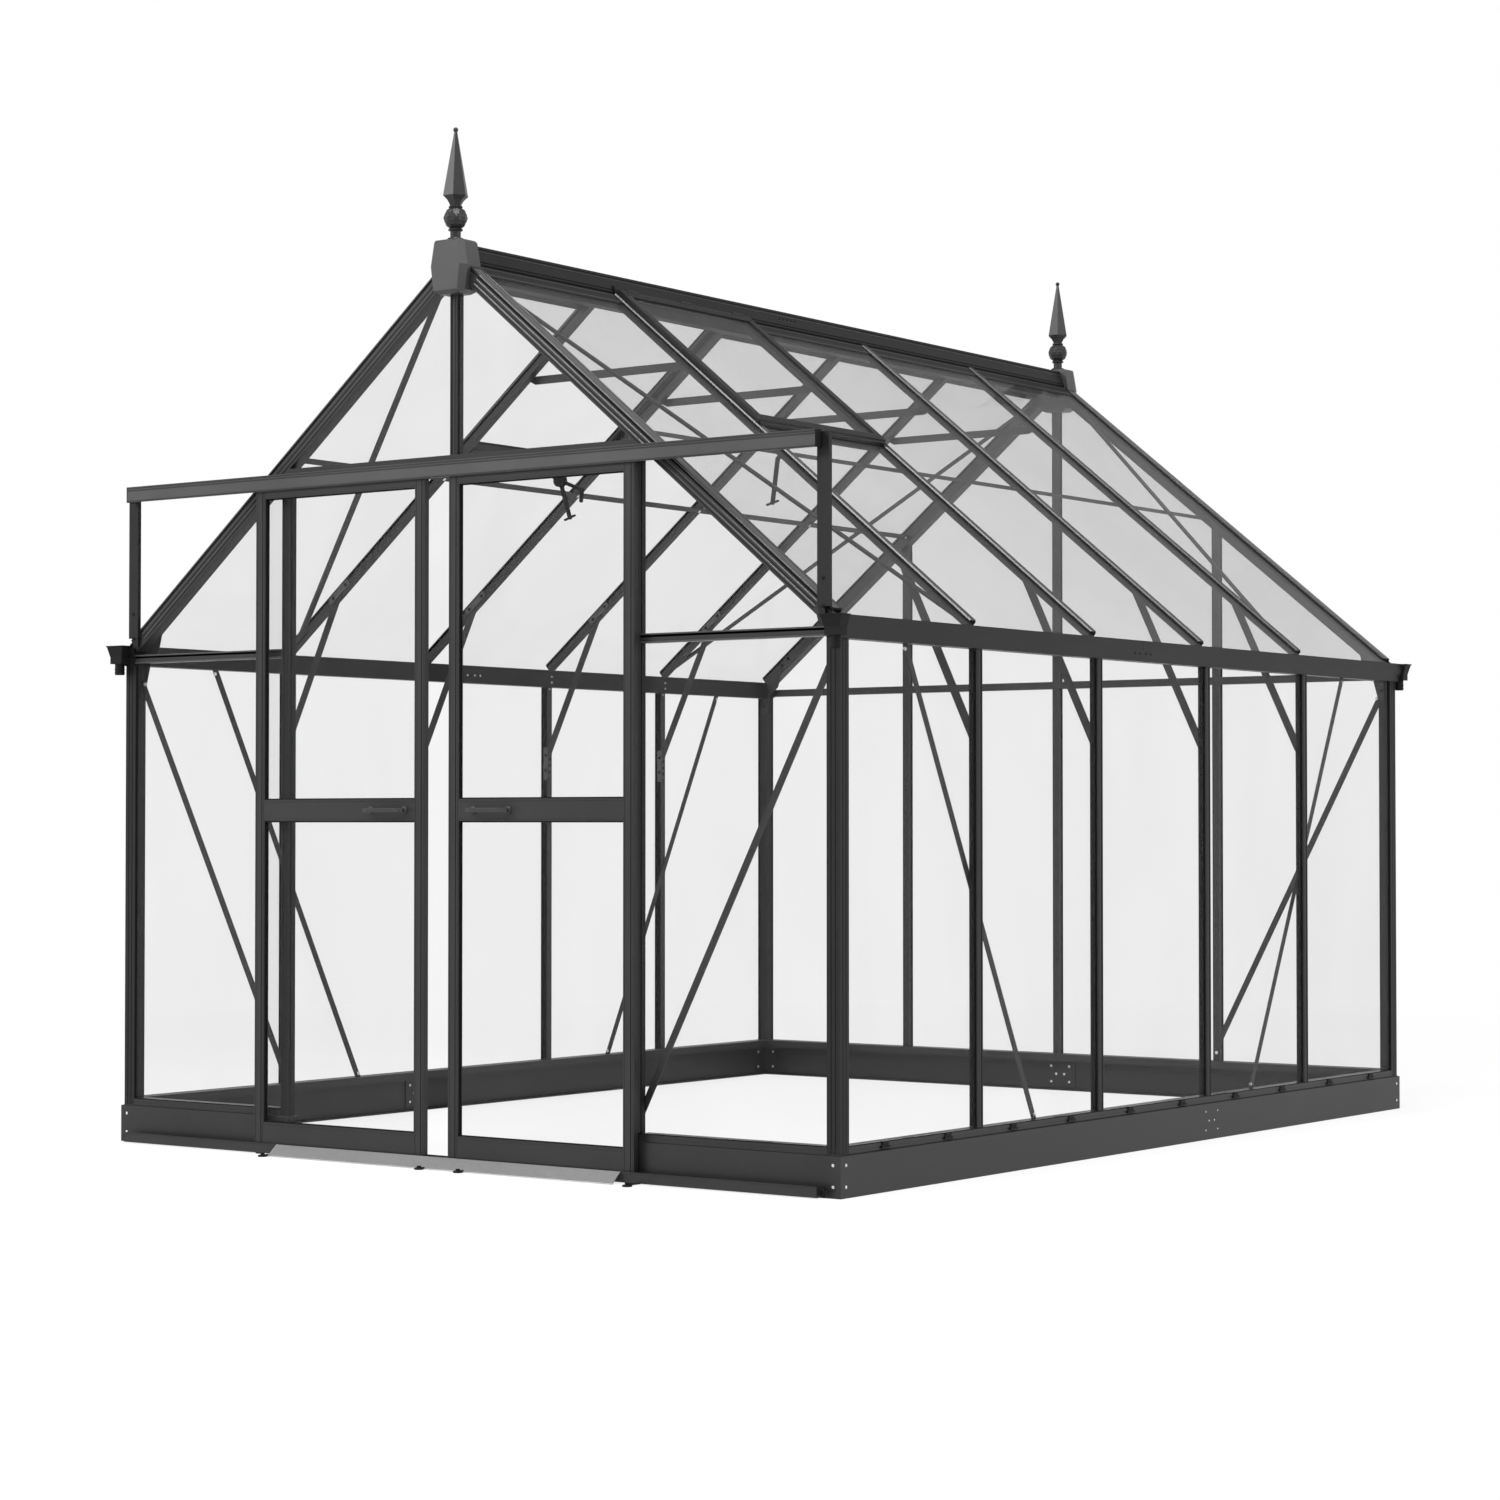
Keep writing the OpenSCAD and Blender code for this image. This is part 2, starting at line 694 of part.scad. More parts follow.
// ---- glass ----
module side_glass() {
    edge = slot_depth - glass_gap;
    color(glass_colour) house() both_sides() for (i = [0 : side_bays - 1]) {
        y0 = i == 0 ? -wall_y + post_size - edge : side_bar_ys[i - 1] + bar_w / 2 - edge;
        y1 = i == side_bays - 1 ? wall_y - post_size + edge : side_bar_ys[i] - bar_w / 2 + edge;
        translate([wall_x - pane_in - glass_t, y0, sill_top + glass_gap])
            cube([glass_t, y1 - y0, gutter_bottom - sill_top - 2 * glass_gap]);
    }
}
// Gable pane between x0 and x1, from z0 up to z1 or the rafter's underside; given a step,
// z1 counts up to the step and the rafter's underside beyond it
module gable_pane(x0, x1, z0, z1, step = 0) {
    g = 2 * glass_gap;
    knee = under_x(z1);
    mid = step > 0 ? [[step, under_z(step) - g], [step, z1 - g]]
        : knee > x0 && knee < x1 ? [[knee, z1 - g]] : [];
    end = step > 0 ? under_z(x1) : min(z1, under_z(x1));
    plate(wall_y - pane_in - glass_t, glass_t, concat(
        [[x0, z0 + glass_gap], [x1, z0 + glass_gap], [x1, end - g]], mid,
        [[x0, min(z1, under_z(x0)) - g]]
    ));
}
module gable_glass() {
    edge = slot_depth - glass_gap;
    far = 2 * apex_z;
    post_side = wall_x - post_size;
    tie_bottom = tie_top - tie_h;
    mid_side = bar_w / 2 - edge;
    bar_side = gable_pitch - bar_w / 2 + edge;
    outer_side = gable_pitch + bar_w / 2 - edge;
    jamb_side = jamb_in + jamb_w - edge;
    tie_side = min(gutter_in - glass_gap, under_x(tie_top + cap_t));
    casting_side = casting_half[2] + cap_t;
    color(glass_colour) house() difference() {
        both_sides() {
            gable_pane(outer_side, post_side + edge, sill_top, tie_bottom);
            gable_pane(outer_side, tie_side, tie_top, far);
            gable_pane(mid_side, bar_side, sill_top, tie_bottom);
            gable_pane(mid_side, bar_side, tie_top, casting_bottom, casting_side);
            mirror([0, 1, 0]) {
                gable_pane(jamb_side, post_side + edge, sill_top, tie_bottom);
                gable_pane(jamb_side, tie_side, tie_top, door_clear);
                gable_pane(mid_side, under_x(header_top + cap_t), header_top, casting_bottom,
                           casting_side);
            }
        }
        both_sides() translate([gutter_in - glass_gap, -half_l, gutter_bottom - glass_gap])
            cube([post_size, base_l, gutter_h]);
    }
}
module roof_glass() {
    edge = slot_depth - glass_gap;
    top = wing_half / cos(roof_angle) - 12;
    end = slope_len + 12;
    color(glass_colour) house() both_sides() for (i = [0 : side_bays - 1]) {
        y0 = i == 0 ? -wall_y + post_size - edge : side_bar_ys[i - 1] + bar_w / 2 - edge;
        y1 = i == side_bays - 1 ? wall_y - post_size + edge : side_bar_ys[i] - bar_w / 2 + edge;
        start = i == vent_bay - 1 ? vent_end - pane_hold : top;
        difference() {
            on_slope() translate([start, y0, -pane_in - glass_t])
                cube([end - start, y1 - y0, glass_t]);
            casting_room(casting[0] / 2 + glass_gap, glass_gap);
        }
    }
}

// ---- roof vents ----
// Block over the vent's opening, in from its outer edges by inset, from z0 to z1
module vent_block(inset, z0, z1) {
    translate([vent_top + inset, vent_y[0] + inset, z0])
        cube([vent_end - vent_top - 2 * inset, vent_y[1] - vent_y[0] - 2 * inset, z1 - z0]);
}
module vent_frames() {
    color(frame_colour) house() both_sides() on_slope() difference() {
        vent_block(0, 0, vent_t);
        vent_block(vent_rail, -1, vent_t + 1);
    }
}
module vent_glass() {
    mid = vent_t / 2;
    color(glass_colour) house() both_sides() on_slope()
        vent_block(vent_rail + glass_gap, mid - glass_t / 2, mid + glass_t / 2);
}
// Cross bars under the vents' lower edges, between the rafters
module vent_sills() {
    y0 = side_bar_ys[vent_bay - 2] + bar_w / 2;
    y1 = side_bar_ys[vent_bay - 1] - bar_w / 2;
    color(frame_colour) house() both_sides() on_slope() difference() {
        translate([vent_end - vent_seat, y0, -vent_sill_depth])
            cube([vent_seat + 4, y1 - y0, vent_sill_depth]);
        translate([vent_end - pane_hold - 2, y0 - 1, -pane_in - glass_t - glass_gap])
            cube([vent_seat, y1 - y0 + 2, glass_t + 2 * glass_gap]);
    }
}
// Places children under a vent sill at this y, upright, with X pointing in under the roof
module under_vent_sill(y) {
    on_slope() translate([vent_end - vent_seat / 2, y, -vent_sill_depth])
        rotate([90, -roof_angle, 0]) mirror([1, 0, 0]) children();
}
// Arm of round-ended bar between points of the XY plane
module stay_arm(points, w, t) {
    for (i = [0 : len(points) - 2]) linear_extrude(t, center = true) hull() {
        translate(points[i]) circle(d = w, $fn = 12);
        translate(points[i + 1]) circle(d = w, $fn = 12);
    }
}
module vent_stays() {
    housing_d = 39;
    housing = [45, -54];
    arm_w = 11;
    arm_t = 8;
    top_y = -arm_w / cos(roof_angle);
    grip = [42, 5];
    left_foot = housing + [38, -115];
    elbow = housing + [86, -33];
    hook = elbow + [-4, -33];
    bend = [66, -60];
    right_foot = bend + [18, -125];
    color(black) house() {
        // Winder with a round housing, a cross handle and a hooked lever, on the left
        mirror([1, 0, 0]) under_vent_sill(vent_y[0] + 0.6 * (vent_y[1] - vent_y[0])) {
            translate(housing) cylinder(d = housing_d, h = 18, center = true);
            stay_arm([[0, top_y], housing], 2 * arm_w, arm_t + 4);
            stay_arm([housing, left_foot], arm_w, arm_t);
            stay_arm([housing, elbow, hook], arm_w, arm_t - 2);
            translate(left_foot) rotate([0, 0, 18])
                cube([grip[0], grip[1], arm_t], center = true);
        }
        // Plain stay bar with a cross foot, on the right
        under_vent_sill(vent_y[0] + 0.36 * (vent_y[1] - vent_y[0])) {
            stay_arm([[0, top_y / 2], bend, right_foot], arm_w, arm_t);
            translate(right_foot) rotate([0, 0, -14])
                cube([grip[0], grip[1], arm_t], center = true);
        }
    }
}

// ---- door tracks ----
// Roof over the leaves, a front wall before them, and a web behind with the rollers' ledge
module top_track() {
    roof_z = track_top - track_roof;
    web_y = -wall_y - track_t;
    web_z = track_top - web_h;
    lip_z = track_top - track_h;
    ledge_y = web_y - ledge_w;
    color(frame_colour) house() difference() {
        along_x(-track_half, track_half) polygon([
            [-wall_y, track_top], [-track_front, track_top], [-track_front, lip_z],
            [-lip_in, lip_z], [-lip_in, roof_z], [web_y, roof_z],
            [web_y, ledge_z], [ledge_y, ledge_z], [ledge_y, ledge_z - ledge_t],
            [web_y, ledge_z - ledge_t], [web_y, web_z], [-wall_y, web_z]
        ]);
        both_sides() translate([track_post_x - post_gap, -post_face - 1, web_z - 1])
            cube([track_post[0], track_post[1] + 2, roof_z - web_z + 1]);
    }
}
// Posts that carry the track's ends, each on a small bracket
module track_posts() {
    bracket = [20, 3];
    z0 = eaves_z + 20;
    bracket_z = gutter_top - 8;
    color(frame_colour) house() both_sides() mirror([0, 1, 0]) {
        translate([track_post_x, wall_y, z0])
            cube([track_post[0], track_post[1], track_top - track_roof - z0]);
        translate([track_post_x + 2, half_l, bracket_z])
            cube([bracket[0], bracket[1], z0 - bracket_z]);
    }
}
// Upright channel: its back stands on the plinth's face, its front wall hides the guides
module bottom_track() {
    z = bottom_track_z;
    floor_z = z[0] + channel_floor;
    color(frame_colour) house() along_x(-track_half - 3, track_half + 3) polygon([
        [-half_l, z[0]], [-half_l, z[1]], [-half_l - track_t, z[1]],
        [-half_l - track_t, floor_z], [-lip_in, floor_z], [-lip_in, z[1]],
        [-track_front, z[1]], [-track_front, z[0]]
    ]);
}
module track_feet() {
    foot_d = 25;
    color(black) house() for (x = foot_xs)
        translate([x, -track_front + foot_d / 2, 0]) cylinder(d = foot_d, h = bottom_track_z[0]);
}
module ramp() {
    half = jamb_in + 3;
    z = bottom_track_z[1];
    rise = ramp_t / cos(atan(z / ramp_run));
    color(bare_metal) house() along_x(-half, half) polygon([
        [-track_front, z], [-track_front, z - rise],
        [-track_front - ramp_run * (z - rise) / z, 0], [-track_front - ramp_run, 0]
    ]);
}

// ---- doors: x is the leaf's left edge ----
module leaf(x) {
    house() translate([x, -door_front, 0]) children();
}
module stiles(x) {
    color(frame_colour) leaf(x) for (x0 = [0, door_w - stile_w]) difference() {
        translate([x0, 0, door_z]) cube([stile_w, door_t, door_top - door_z]);
        translate([x0 + 0.7 * stile_w, 0, (door_z + door_top) / 2])
            cube([groove, groove, door_top], center = true);
    }
}
module rails(x) {
    color(frame_colour) leaf(x) for (i = [0 : 2])
        translate([stile_w, 0, rail_z[i]]) cube([door_w - 2 * stile_w, door_t, rail_h[i]]);
}
module leaf_glass(x) {
    g = glass_gap;
    color(glass_colour) leaf(x) for (i = [0 : 1]) {
        z0 = rail_z[i] + rail_h[i];
        translate([stile_w + g, (door_t - glass_t) / 2, z0 + g])
            cube([door_w - 2 * stile_w - 2 * g, glass_t, rail_z[i + 1] - z0 - 2 * g]);
    }
}
// Bow handle on the middle rail, set in from the meeting stile
module handle(x, x0) {
    foot_d = 12;
    bar_t = 9;
    bend = 0.12 * handle_len;
    color(black) leaf(x) translate([x0, 0, mid_rail_z]) {
        for (end = [foot_d, handle_len - foot_d]) translate([end, 0, 0])
            rotate([90, 0, 0]) cylinder(d = foot_d, h = handle_reach - bar_t / 2);
        translate([0, -handle_reach, -foot_d / 2]) linear_extrude(foot_d) polygon([
            [0, bar_t], [bend, 0], [handle_len - bend, 0], [handle_len, bar_t]
        ]);
    }
}
// Plate standing on the top rail, with the roller's axle
module hangers(x) {
    hanger = [36, 3, 18];
    color(bare_metal) leaf(x) for (x0 = [hanger_in, door_w - hanger_in]) {
        translate([x0 - hanger[0] / 2, (door_t - hanger[1]) / 2, door_top]) cube(hanger);
        translate([x0, door_t / 2, roller_z]) rotate([-90, 0, 0])
            cylinder(d = axle_d, h = roller_back - 1 - door_t / 2);
    }
}
module rollers(x) {
    bore = axle_d + 0.1;
    color(black) leaf(x) for (x0 = [hanger_in, door_w - hanger_in])
        translate([x0, roller_back, roller_z]) rotate([90, 0, 0]) difference() {
            cylinder(d = roller_d, h = roller_t);
            translate([0, 0, -1]) cylinder(d = bore, h = roller_t + 2);
        }
}
// Guide shoes under the stiles, running in the bottom track's channel
module guides(x) {
    inset = 3;
    z = bottom_track_z[0] + channel_floor + run_gap;
    color(black) leaf(x) for (x0 = [inset, door_w - stile_w + inset])
        translate([x0, 0, z]) cube([stile_w - 2 * inset, door_t, door_z - z]);
}
module left_door_stiles() { stiles(left_x); }
module left_door_rails() { rails(left_x); }
module left_door_glass() { leaf_glass(left_x); }
module left_door_handle() { handle(left_x, left_handle_x); }
module left_door_hangers() { hangers(left_x); }
module left_door_rollers() { rollers(left_x); }
module left_door_guides() { guides(left_x); }
module right_door_stiles() { stiles(right_x); }
module right_door_rails() { rails(right_x); }
module right_door_glass() { leaf_glass(right_x); }
module right_door_handle() { handle(right_x, right_handle_x); }
module right_door_hangers() { hangers(right_x); }
module right_door_rollers() { rollers(right_x); }
module right_door_guides() { guides(right_x); }

side_plinths();
end_plinths();
plinth_corner_brackets();
plinth_splice_plates();
side_sills();
end_sills();
corner_posts();
side_wall_bars();
rear_wall_bars();
door_jambs();
door_header();
gable_centre_bar();
eaves_ties();
left_gutter();
right_gutter();
gutter_outlets();
gable_rafters();
rafters();
ridge_beam();
ridge_end_caps();
finials();
collar_ties();
purlins();
knee_braces();
side_wall_braces();
gable_braces();
roof_braces();
corner_gussets();
side_glass();
gable_glass();
roof_glass();
vent_frames();
vent_glass();
vent_sills();
vent_stays();
top_track();
track_posts();
bottom_track();
track_feet();
ramp();
left_door_stiles();
left_door_rails();
left_door_glass();
left_door_handle();
left_door_hangers();
left_door_rollers();
left_door_guides();
right_door_stiles();
right_door_rails();
right_door_glass();
right_door_handle();
right_door_hangers();
right_door_rollers();
right_door_guides();
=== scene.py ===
"""Looks for the glass greenhouse: finishes, fastenings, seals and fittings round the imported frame.

Metres, Z up, doors towards -Y. Places come from the CAD nodes' boxes.
"""

import math

import bmesh
import bpy
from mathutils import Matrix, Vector


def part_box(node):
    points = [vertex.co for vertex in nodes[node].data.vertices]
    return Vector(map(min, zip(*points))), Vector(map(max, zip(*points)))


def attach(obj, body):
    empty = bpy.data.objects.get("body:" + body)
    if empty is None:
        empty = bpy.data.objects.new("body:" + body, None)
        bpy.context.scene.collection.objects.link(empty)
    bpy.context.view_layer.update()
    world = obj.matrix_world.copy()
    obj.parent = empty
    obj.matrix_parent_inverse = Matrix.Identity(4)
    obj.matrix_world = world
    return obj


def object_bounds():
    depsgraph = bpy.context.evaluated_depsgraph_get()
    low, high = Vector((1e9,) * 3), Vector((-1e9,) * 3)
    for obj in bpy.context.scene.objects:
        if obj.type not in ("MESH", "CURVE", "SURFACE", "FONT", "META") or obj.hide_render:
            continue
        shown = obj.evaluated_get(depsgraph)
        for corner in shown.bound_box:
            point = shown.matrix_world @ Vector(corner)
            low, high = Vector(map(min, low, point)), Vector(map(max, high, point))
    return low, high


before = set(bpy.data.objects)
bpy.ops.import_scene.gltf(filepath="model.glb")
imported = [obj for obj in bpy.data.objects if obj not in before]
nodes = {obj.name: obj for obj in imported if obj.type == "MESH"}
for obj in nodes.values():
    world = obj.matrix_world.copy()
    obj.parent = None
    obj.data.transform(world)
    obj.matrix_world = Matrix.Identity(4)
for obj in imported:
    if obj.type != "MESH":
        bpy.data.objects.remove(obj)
CAD_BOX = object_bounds()
scene = bpy.context.scene


# ---- materials ----
def new_material(name):
    """An empty node material: the material, its tree and its output node."""
    mat = bpy.data.materials.new(name)
    mat.use_nodes = True
    tree = mat.node_tree
    tree.nodes.clear()
    out = tree.nodes.new("ShaderNodeOutputMaterial")
    return mat, tree, out


def node(tree, kind, inputs=None, **settings):
    """Adds a node: an input is linked when it is given a socket, and set otherwise."""
    made = tree.nodes.new(kind)
    for key, value in settings.items():
        setattr(made, key, value)
    for key, value in (inputs or {}).items():
        if hasattr(value, "node"):
            tree.links.new(value, made.inputs[key])
        else:
            made.inputs[key].default_value = value
    return made


def ramp(tree, fac, stops, colour=False):
    """A ramp through (place, value) stops; values are greys unless colour is set."""
    made = node(tree, "ShaderNodeValToRGB", {"Fac": fac})
    band = made.color_ramp
    while len(band.elements) < len(stops):
        band.elements.new(0.5)
    for element, (place, value) in zip(band.elements, stops):
        element.position = place
        element.color = (*value, 1) if colour else (value, value, value, 1)
    return made.outputs["Color"]


def object_coords(tree):
    return node(tree, "ShaderNodeTexCoord").outputs["Object"]


def grey(value):
    return (value,) * 3


def noise(tree, scale, detail=2.0, roughness=0.5, stretch=None):
    """Noise in object space; stretch scales each axis first."""
    coords = object_coords(tree)
    if stretch:
        coords = node(
            tree, "ShaderNodeMapping", {"Vector": coords, "Scale": stretch}
        ).outputs["Vector"]
    return node(
        tree,
        "ShaderNodeTexNoise",
        {"Vector": coords, "Scale": scale, "Detail": detail, "Roughness": roughness},
    ).outputs["Fac"]


def bump(tree, height, strength, distance):
    return node(
        tree,
        "ShaderNodeBump",
        {"Height": height, "Strength": strength, "Distance": distance},
    ).outputs["Normal"]


DUST = (0.12, 0.118, 0.112, 1)


def powder_coat(name, dark, light, rough, specular):
    """Satin powder coating: fine orange peel, cloudy sheen and a little settled dust."""
    mat, tree, out = new_material(name)
    cloud = noise(tree, 3.0, 4.0, 0.6)
    peel = noise(tree, 900.0, 1.0)
    dust = noise(tree, 35.0, 6.0, 0.75)
    speck = ramp(tree, dust, [(0.45, 0.0), (0.85, 0.03)])
    colour = ramp(tree, cloud, [(0.3, dark), (0.7, light)], colour=True)
    dusty = node(
        tree,
        "ShaderNodeMix",
        {"Factor": speck, "A": colour, "B": DUST},
        data_type="RGBA",
    )
    shader = node(
        tree,
        "ShaderNodeBsdfPrincipled",
        {
            "Base Color": dusty.outputs["Result"],
            "Roughness": ramp(tree, cloud, [(0.3, rough), (0.7, rough + 0.08)]),
            "Normal": bump(tree, peel, 0.05, 0.0003),
            "Specular IOR Level": specular,
        },
    )
    tree.links.new(shader.outputs[0], out.inputs[0])
    return mat


def moulded_plastic(name, dark, light, specular):
    """Matt moulded plastic or rubber with a fine grain."""
    mat, tree, out = new_material(name)
    grain = noise(tree, 700.0, 2.0, 0.6)
    shader = node(
        tree,
        "ShaderNodeBsdfPrincipled",
        {
            "Base Color": ramp(tree, grain, [(0.3, dark), (0.7, light)], colour=True),
            "Roughness": ramp(tree, grain, [(0.3, 0.5), (0.7, 0.62)]),
            "Normal": bump(tree, grain, 0.25, 0.0003),
            "Specular IOR Level": specular,
        },
    )
    tree.links.new(shader.outputs[0], out.inputs[0])
    return mat


def brushed_metal(name, dark, light, rough, stretch):
    """Mill-finish metal, with fine lines along one axis."""
    mat, tree, out = new_material(name)
    lines = noise(tree, 60.0, 5.0, 0.7, stretch)
    shader = node(
        tree,
        "ShaderNodeBsdfPrincipled",
        {
            "Base Color": ramp(tree, lines, [(0.35, dark), (0.65, light)], colour=True),
            "Metallic": 1.0,
            "Roughness": ramp(tree, lines, [(0.3, rough), (0.7, rough + 0.12)]),
            "Normal": bump(tree, lines, 0.15, 0.0002),
        },
    )
    tree.links.new(shader.outputs[0], out.inputs[0])
    return mat


def clear_glass(name, tint):
    """A thin float pane: straight through, glossier at a slant, with smears in its polish."""
    mat, tree, out = new_material(name)
    smear = noise(tree, 2.5, 3.0, 0.6, (1.0, 1.0, 0.4))
    clean = tuple(min(1, c + 0.012) for c in tint)
    film = ramp(tree, smear, [(0.35, tint), (0.65, clean)], colour=True)
    through = node(tree, "ShaderNodeBsdfTransparent", {"Color": film})
    gloss = node(
        tree,
        "ShaderNodeBsdfPrincipled",
        {
            "Base Color": ramp(tree, smear, [(0.3, 0.08), (0.7, 0.12)]),
            "Roughness": ramp(tree, smear, [(0.3, 0.02), (0.7, 0.06)]),
            "Specular IOR Level": 0.9,
            "Normal": bump(tree, smear, 0.02, 0.001),
        },
    )
    slant = node(tree, "ShaderNodeLayerWeight", {"Blend": 0.5}).outputs["Facing"]
    share = ramp(
        tree, slant, [(0, 0.03), (0.45, 0.045), (0.6, 0.08), (0.73, 0.19), (0.85, 0.4), (1, 0.9)]
    )
    mix = node(
        tree, "ShaderNodeMixShader", {0: share, 1: through.outputs[0], 2: gloss.outputs[0]}
    )
    tree.links.new(mix.outputs[0], out.inputs[0])
    return mat


# Coated aluminium in lit and shaded copies of one coat, from the faces in shade to the ones that
# catch the light: the darker copies are painted shade, the lighter ones painted light
# The darkest copy is painted shade
DARK = powder_coat("shaded_coat", grey(0.0095), grey(0.013), 0.42, 0.2)
COAT = powder_coat("anthracite_coat", grey(0.017), grey(0.0225), 0.36, 0.3)
# A lighter copy for the lips and ribs on the rafters: painted highlight along their edges
EDGE = powder_coat("highlight_edge_coat", grey(0.034), grey(0.044), 0.28, 0.5)
# A lighter copy for caps, tracks, ridge lips, gutter joints and brace plates: painted light
LIGHT = powder_coat("lit_coat", grey(0.040), grey(0.052), 0.32, 0.4)
# The lightest copy, for thin sheets on the rafters' tops: painted highlight
SHEEN = powder_coat("sunlit_coat", grey(0.060), grey(0.080), 0.26, 0.7)
PLASTIC = moulded_plastic("black_plastic", grey(0.004), grey(0.008), 0.15)
GRIP = moulded_plastic("handle_plastic", grey(0.018), grey(0.028), 0.5)
# Black for the seals, and for the strips of painted shade laid in grooves
RUBBER_AND_GROOVE_SHADE = moulded_plastic("rubber_seal_and_groove_shade", grey(0.002), grey(0.005), 0.1)
MILL = brushed_metal("mill_aluminium", (0.42, 0.42, 0.43), (0.62, 0.62, 0.63), 0.32, (1, 40, 40))
ZINC = brushed_metal("zinc_plate", (0.6, 0.6, 0.61), (0.85, 0.85, 0.86), 0.25, (8, 8, 8))
GLASS = clear_glass("clear_glass", grey(0.985))
ROOF_GLASS = clear_glass("roof_glass", grey(0.972))


def finish_of(name):
    """The material of a CAD node."""
    if name in ("roof_glass", "vent_glass"):
        return ROOF_GLASS
    if "glass" in name:
        return GLASS
    if name == "ramp" or "hangers" in name:
        return MILL
    if name in ("gutter_outlets", "vent_stays", "track_feet"):
        return PLASTIC
    if "rollers" in name or "guides" in name:
        return PLASTIC
    if "handle" in name:
        return GRIP
    # Caps and the top track take the lit coat, painted light; posts, jambs, beam and gutters take
    # the shaded coat, painted shade
    if name in ("ridge_end_caps", "top_track"):
        return LIGHT
    if name in ("track_posts", "door_jambs", "ridge_beam", "corner_posts") or "gutter" in name:
        return DARK
    return COAT


for name, obj in nodes.items():
    obj.data.materials.clear()
    obj.data.materials.append(finish_of(name))


# ---- measures, in metres ----
def solids(name):
    """Lowest and highest corners of each separate solid in a CAD node, left to right."""
    bm = bmesh.new()
    bm.from_mesh(nodes[name].data)
    bmesh.ops.remove_doubles(bm, verts=bm.verts, dist=1e-6)
    left = set(bm.verts)
    found = []
    while left:
        todo = [left.pop()]
        part = []
        while todo:
            vert = todo.pop()
            part.append(vert.co.copy())
            for edge in vert.link_edges:
                other = edge.other_vert(vert)
                if other in left:
                    left.remove(other)
                    todo.append(other)
        low, high = (Vector(pick(c[i] for c in part) for i in range(3)) for pick in (min, max))
        found.append((low, high))
    bm.free()
    return sorted(found, key=lambda b: (round(b[0].x, 3), round(b[0].y, 3), b[0].z))


def box(name):
    return tuple(Vector(c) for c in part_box(name))


PLINTH = box("side_plinths")
SHIFT = (PLINTH[0].y + PLINTH[1].y) / 2  # the plinth's middle, from the frame's origin
HALF_W = PLINTH[1].x
HALF_L = PLINTH[1].y - SHIFT
PLINTH_TOP = PLINTH[1].z
WALL_X = box("corner_posts")[1].x
WALL_Y = box("corner_posts")[1].y - SHIFT
SILL_TOP = box("side_sills")[1].z
GUTTER = box("right_gutter")
GUTTER_IN, GUTTER_OUT = GUTTER[0].x, GUTTER[1].x
SIDE_BARS = sorted({round((lo.y + hi.y) / 2 - SHIFT, 4) for lo, hi in solids("side_wall_bars")})
# Sections of the posts, bars and panes, and the roof's slope
POST = 0.040
BAR_W = 0.025
BAR_DEPTH = 0.026
GLASS_IN = 0.0053
ANGLE = math.radians(39.2)
EAVES_Z = GUTTER[1].z + 0.001
APEX_Z = EAVES_Z + WALL_X * math.tan(ANGLE)
RAFTER_END = (WALL_X - 0.0193) / math.cos(ANGLE)
# Flat pieces behind a bar, such as braces, stand this far from it
FLAT = 0.0025
X, Y, Z = Vector((1, 0, 0)), Vector((0, 1, 0)), Vector((0, 0, 1))
SIDES = (-1, 1)


def at(x, y, z):
    """A point given from the middle of the plinth."""
    return Vector((x, y + SHIFT, z))


def down(side):
    """Along the roof, away from the ridge."""
    return Vector((side * math.cos(ANGLE), 0, -math.sin(ANGLE)))


def out_of(side):
    """Square to the roof."""
    return Vector((side * math.sin(ANGLE), 0, math.cos(ANGLE)))


def slope(side, s, y, n=0.0):
    """A point s down the slope from the apex line and n out of the roof."""
    return at(0, y, APEX_Z) + down(side) * s + out_of(side) * n


# ---- mesh helpers ----
def piece(name, bm, mat, body="greenhouse", bevel=0.0):
    """Turns a bmesh into a named piece that rides with a body."""
    bmesh.ops.recalc_face_normals(bm, faces=bm.faces)
    mesh = bpy.data.meshes.new(name)
    bm.to_mesh(mesh)
    bm.free()
    mesh.materials.append(mat)
    obj = bpy.data.objects.new(name, mesh)
    scene.collection.objects.link(obj)
    if bevel:
        edge = obj.modifiers.new("edges", "BEVEL")
        edge.width = bevel
        edge.segments = 2
        edge.limit_method = "ANGLE"
        edge.angle_limit = math.radians(40)
    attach(obj, body)


def prism(bm, outline, origin, u, v, along):
    """Sweeps an outline in the u, v plane from origin along a vector."""
    ends = []
    for start in (origin, origin + along):
        ends.append([bm.verts.new(start + u * a + v * b) for a, b in outline])
    count = len(outline)
    bm.faces.new(ends[0])
    bm.faces.new(list(reversed(ends[1])))
    for i in range(count):
        j = (i + 1) % count
        bm.faces.new((ends[0][j], ends[0][i], ends[1][i], ends[1][j]))


def slab(bm, centre, u, v, w, size):
    """A block of three sizes along three axes."""
    a, b = size[0] / 2, size[1] / 2
    start = centre - w * (size[2] / 2)
    prism(bm, [(-a, -b), (a, -b), (a, b), (-a, b)], start, u, v, w * size[2])


def across(normal):
    """Two axes square to a normal."""
    u = normal.cross(Z if abs(normal.z) < 0.9 else X).normalized()
    return u, normal.cross(u).normalized()


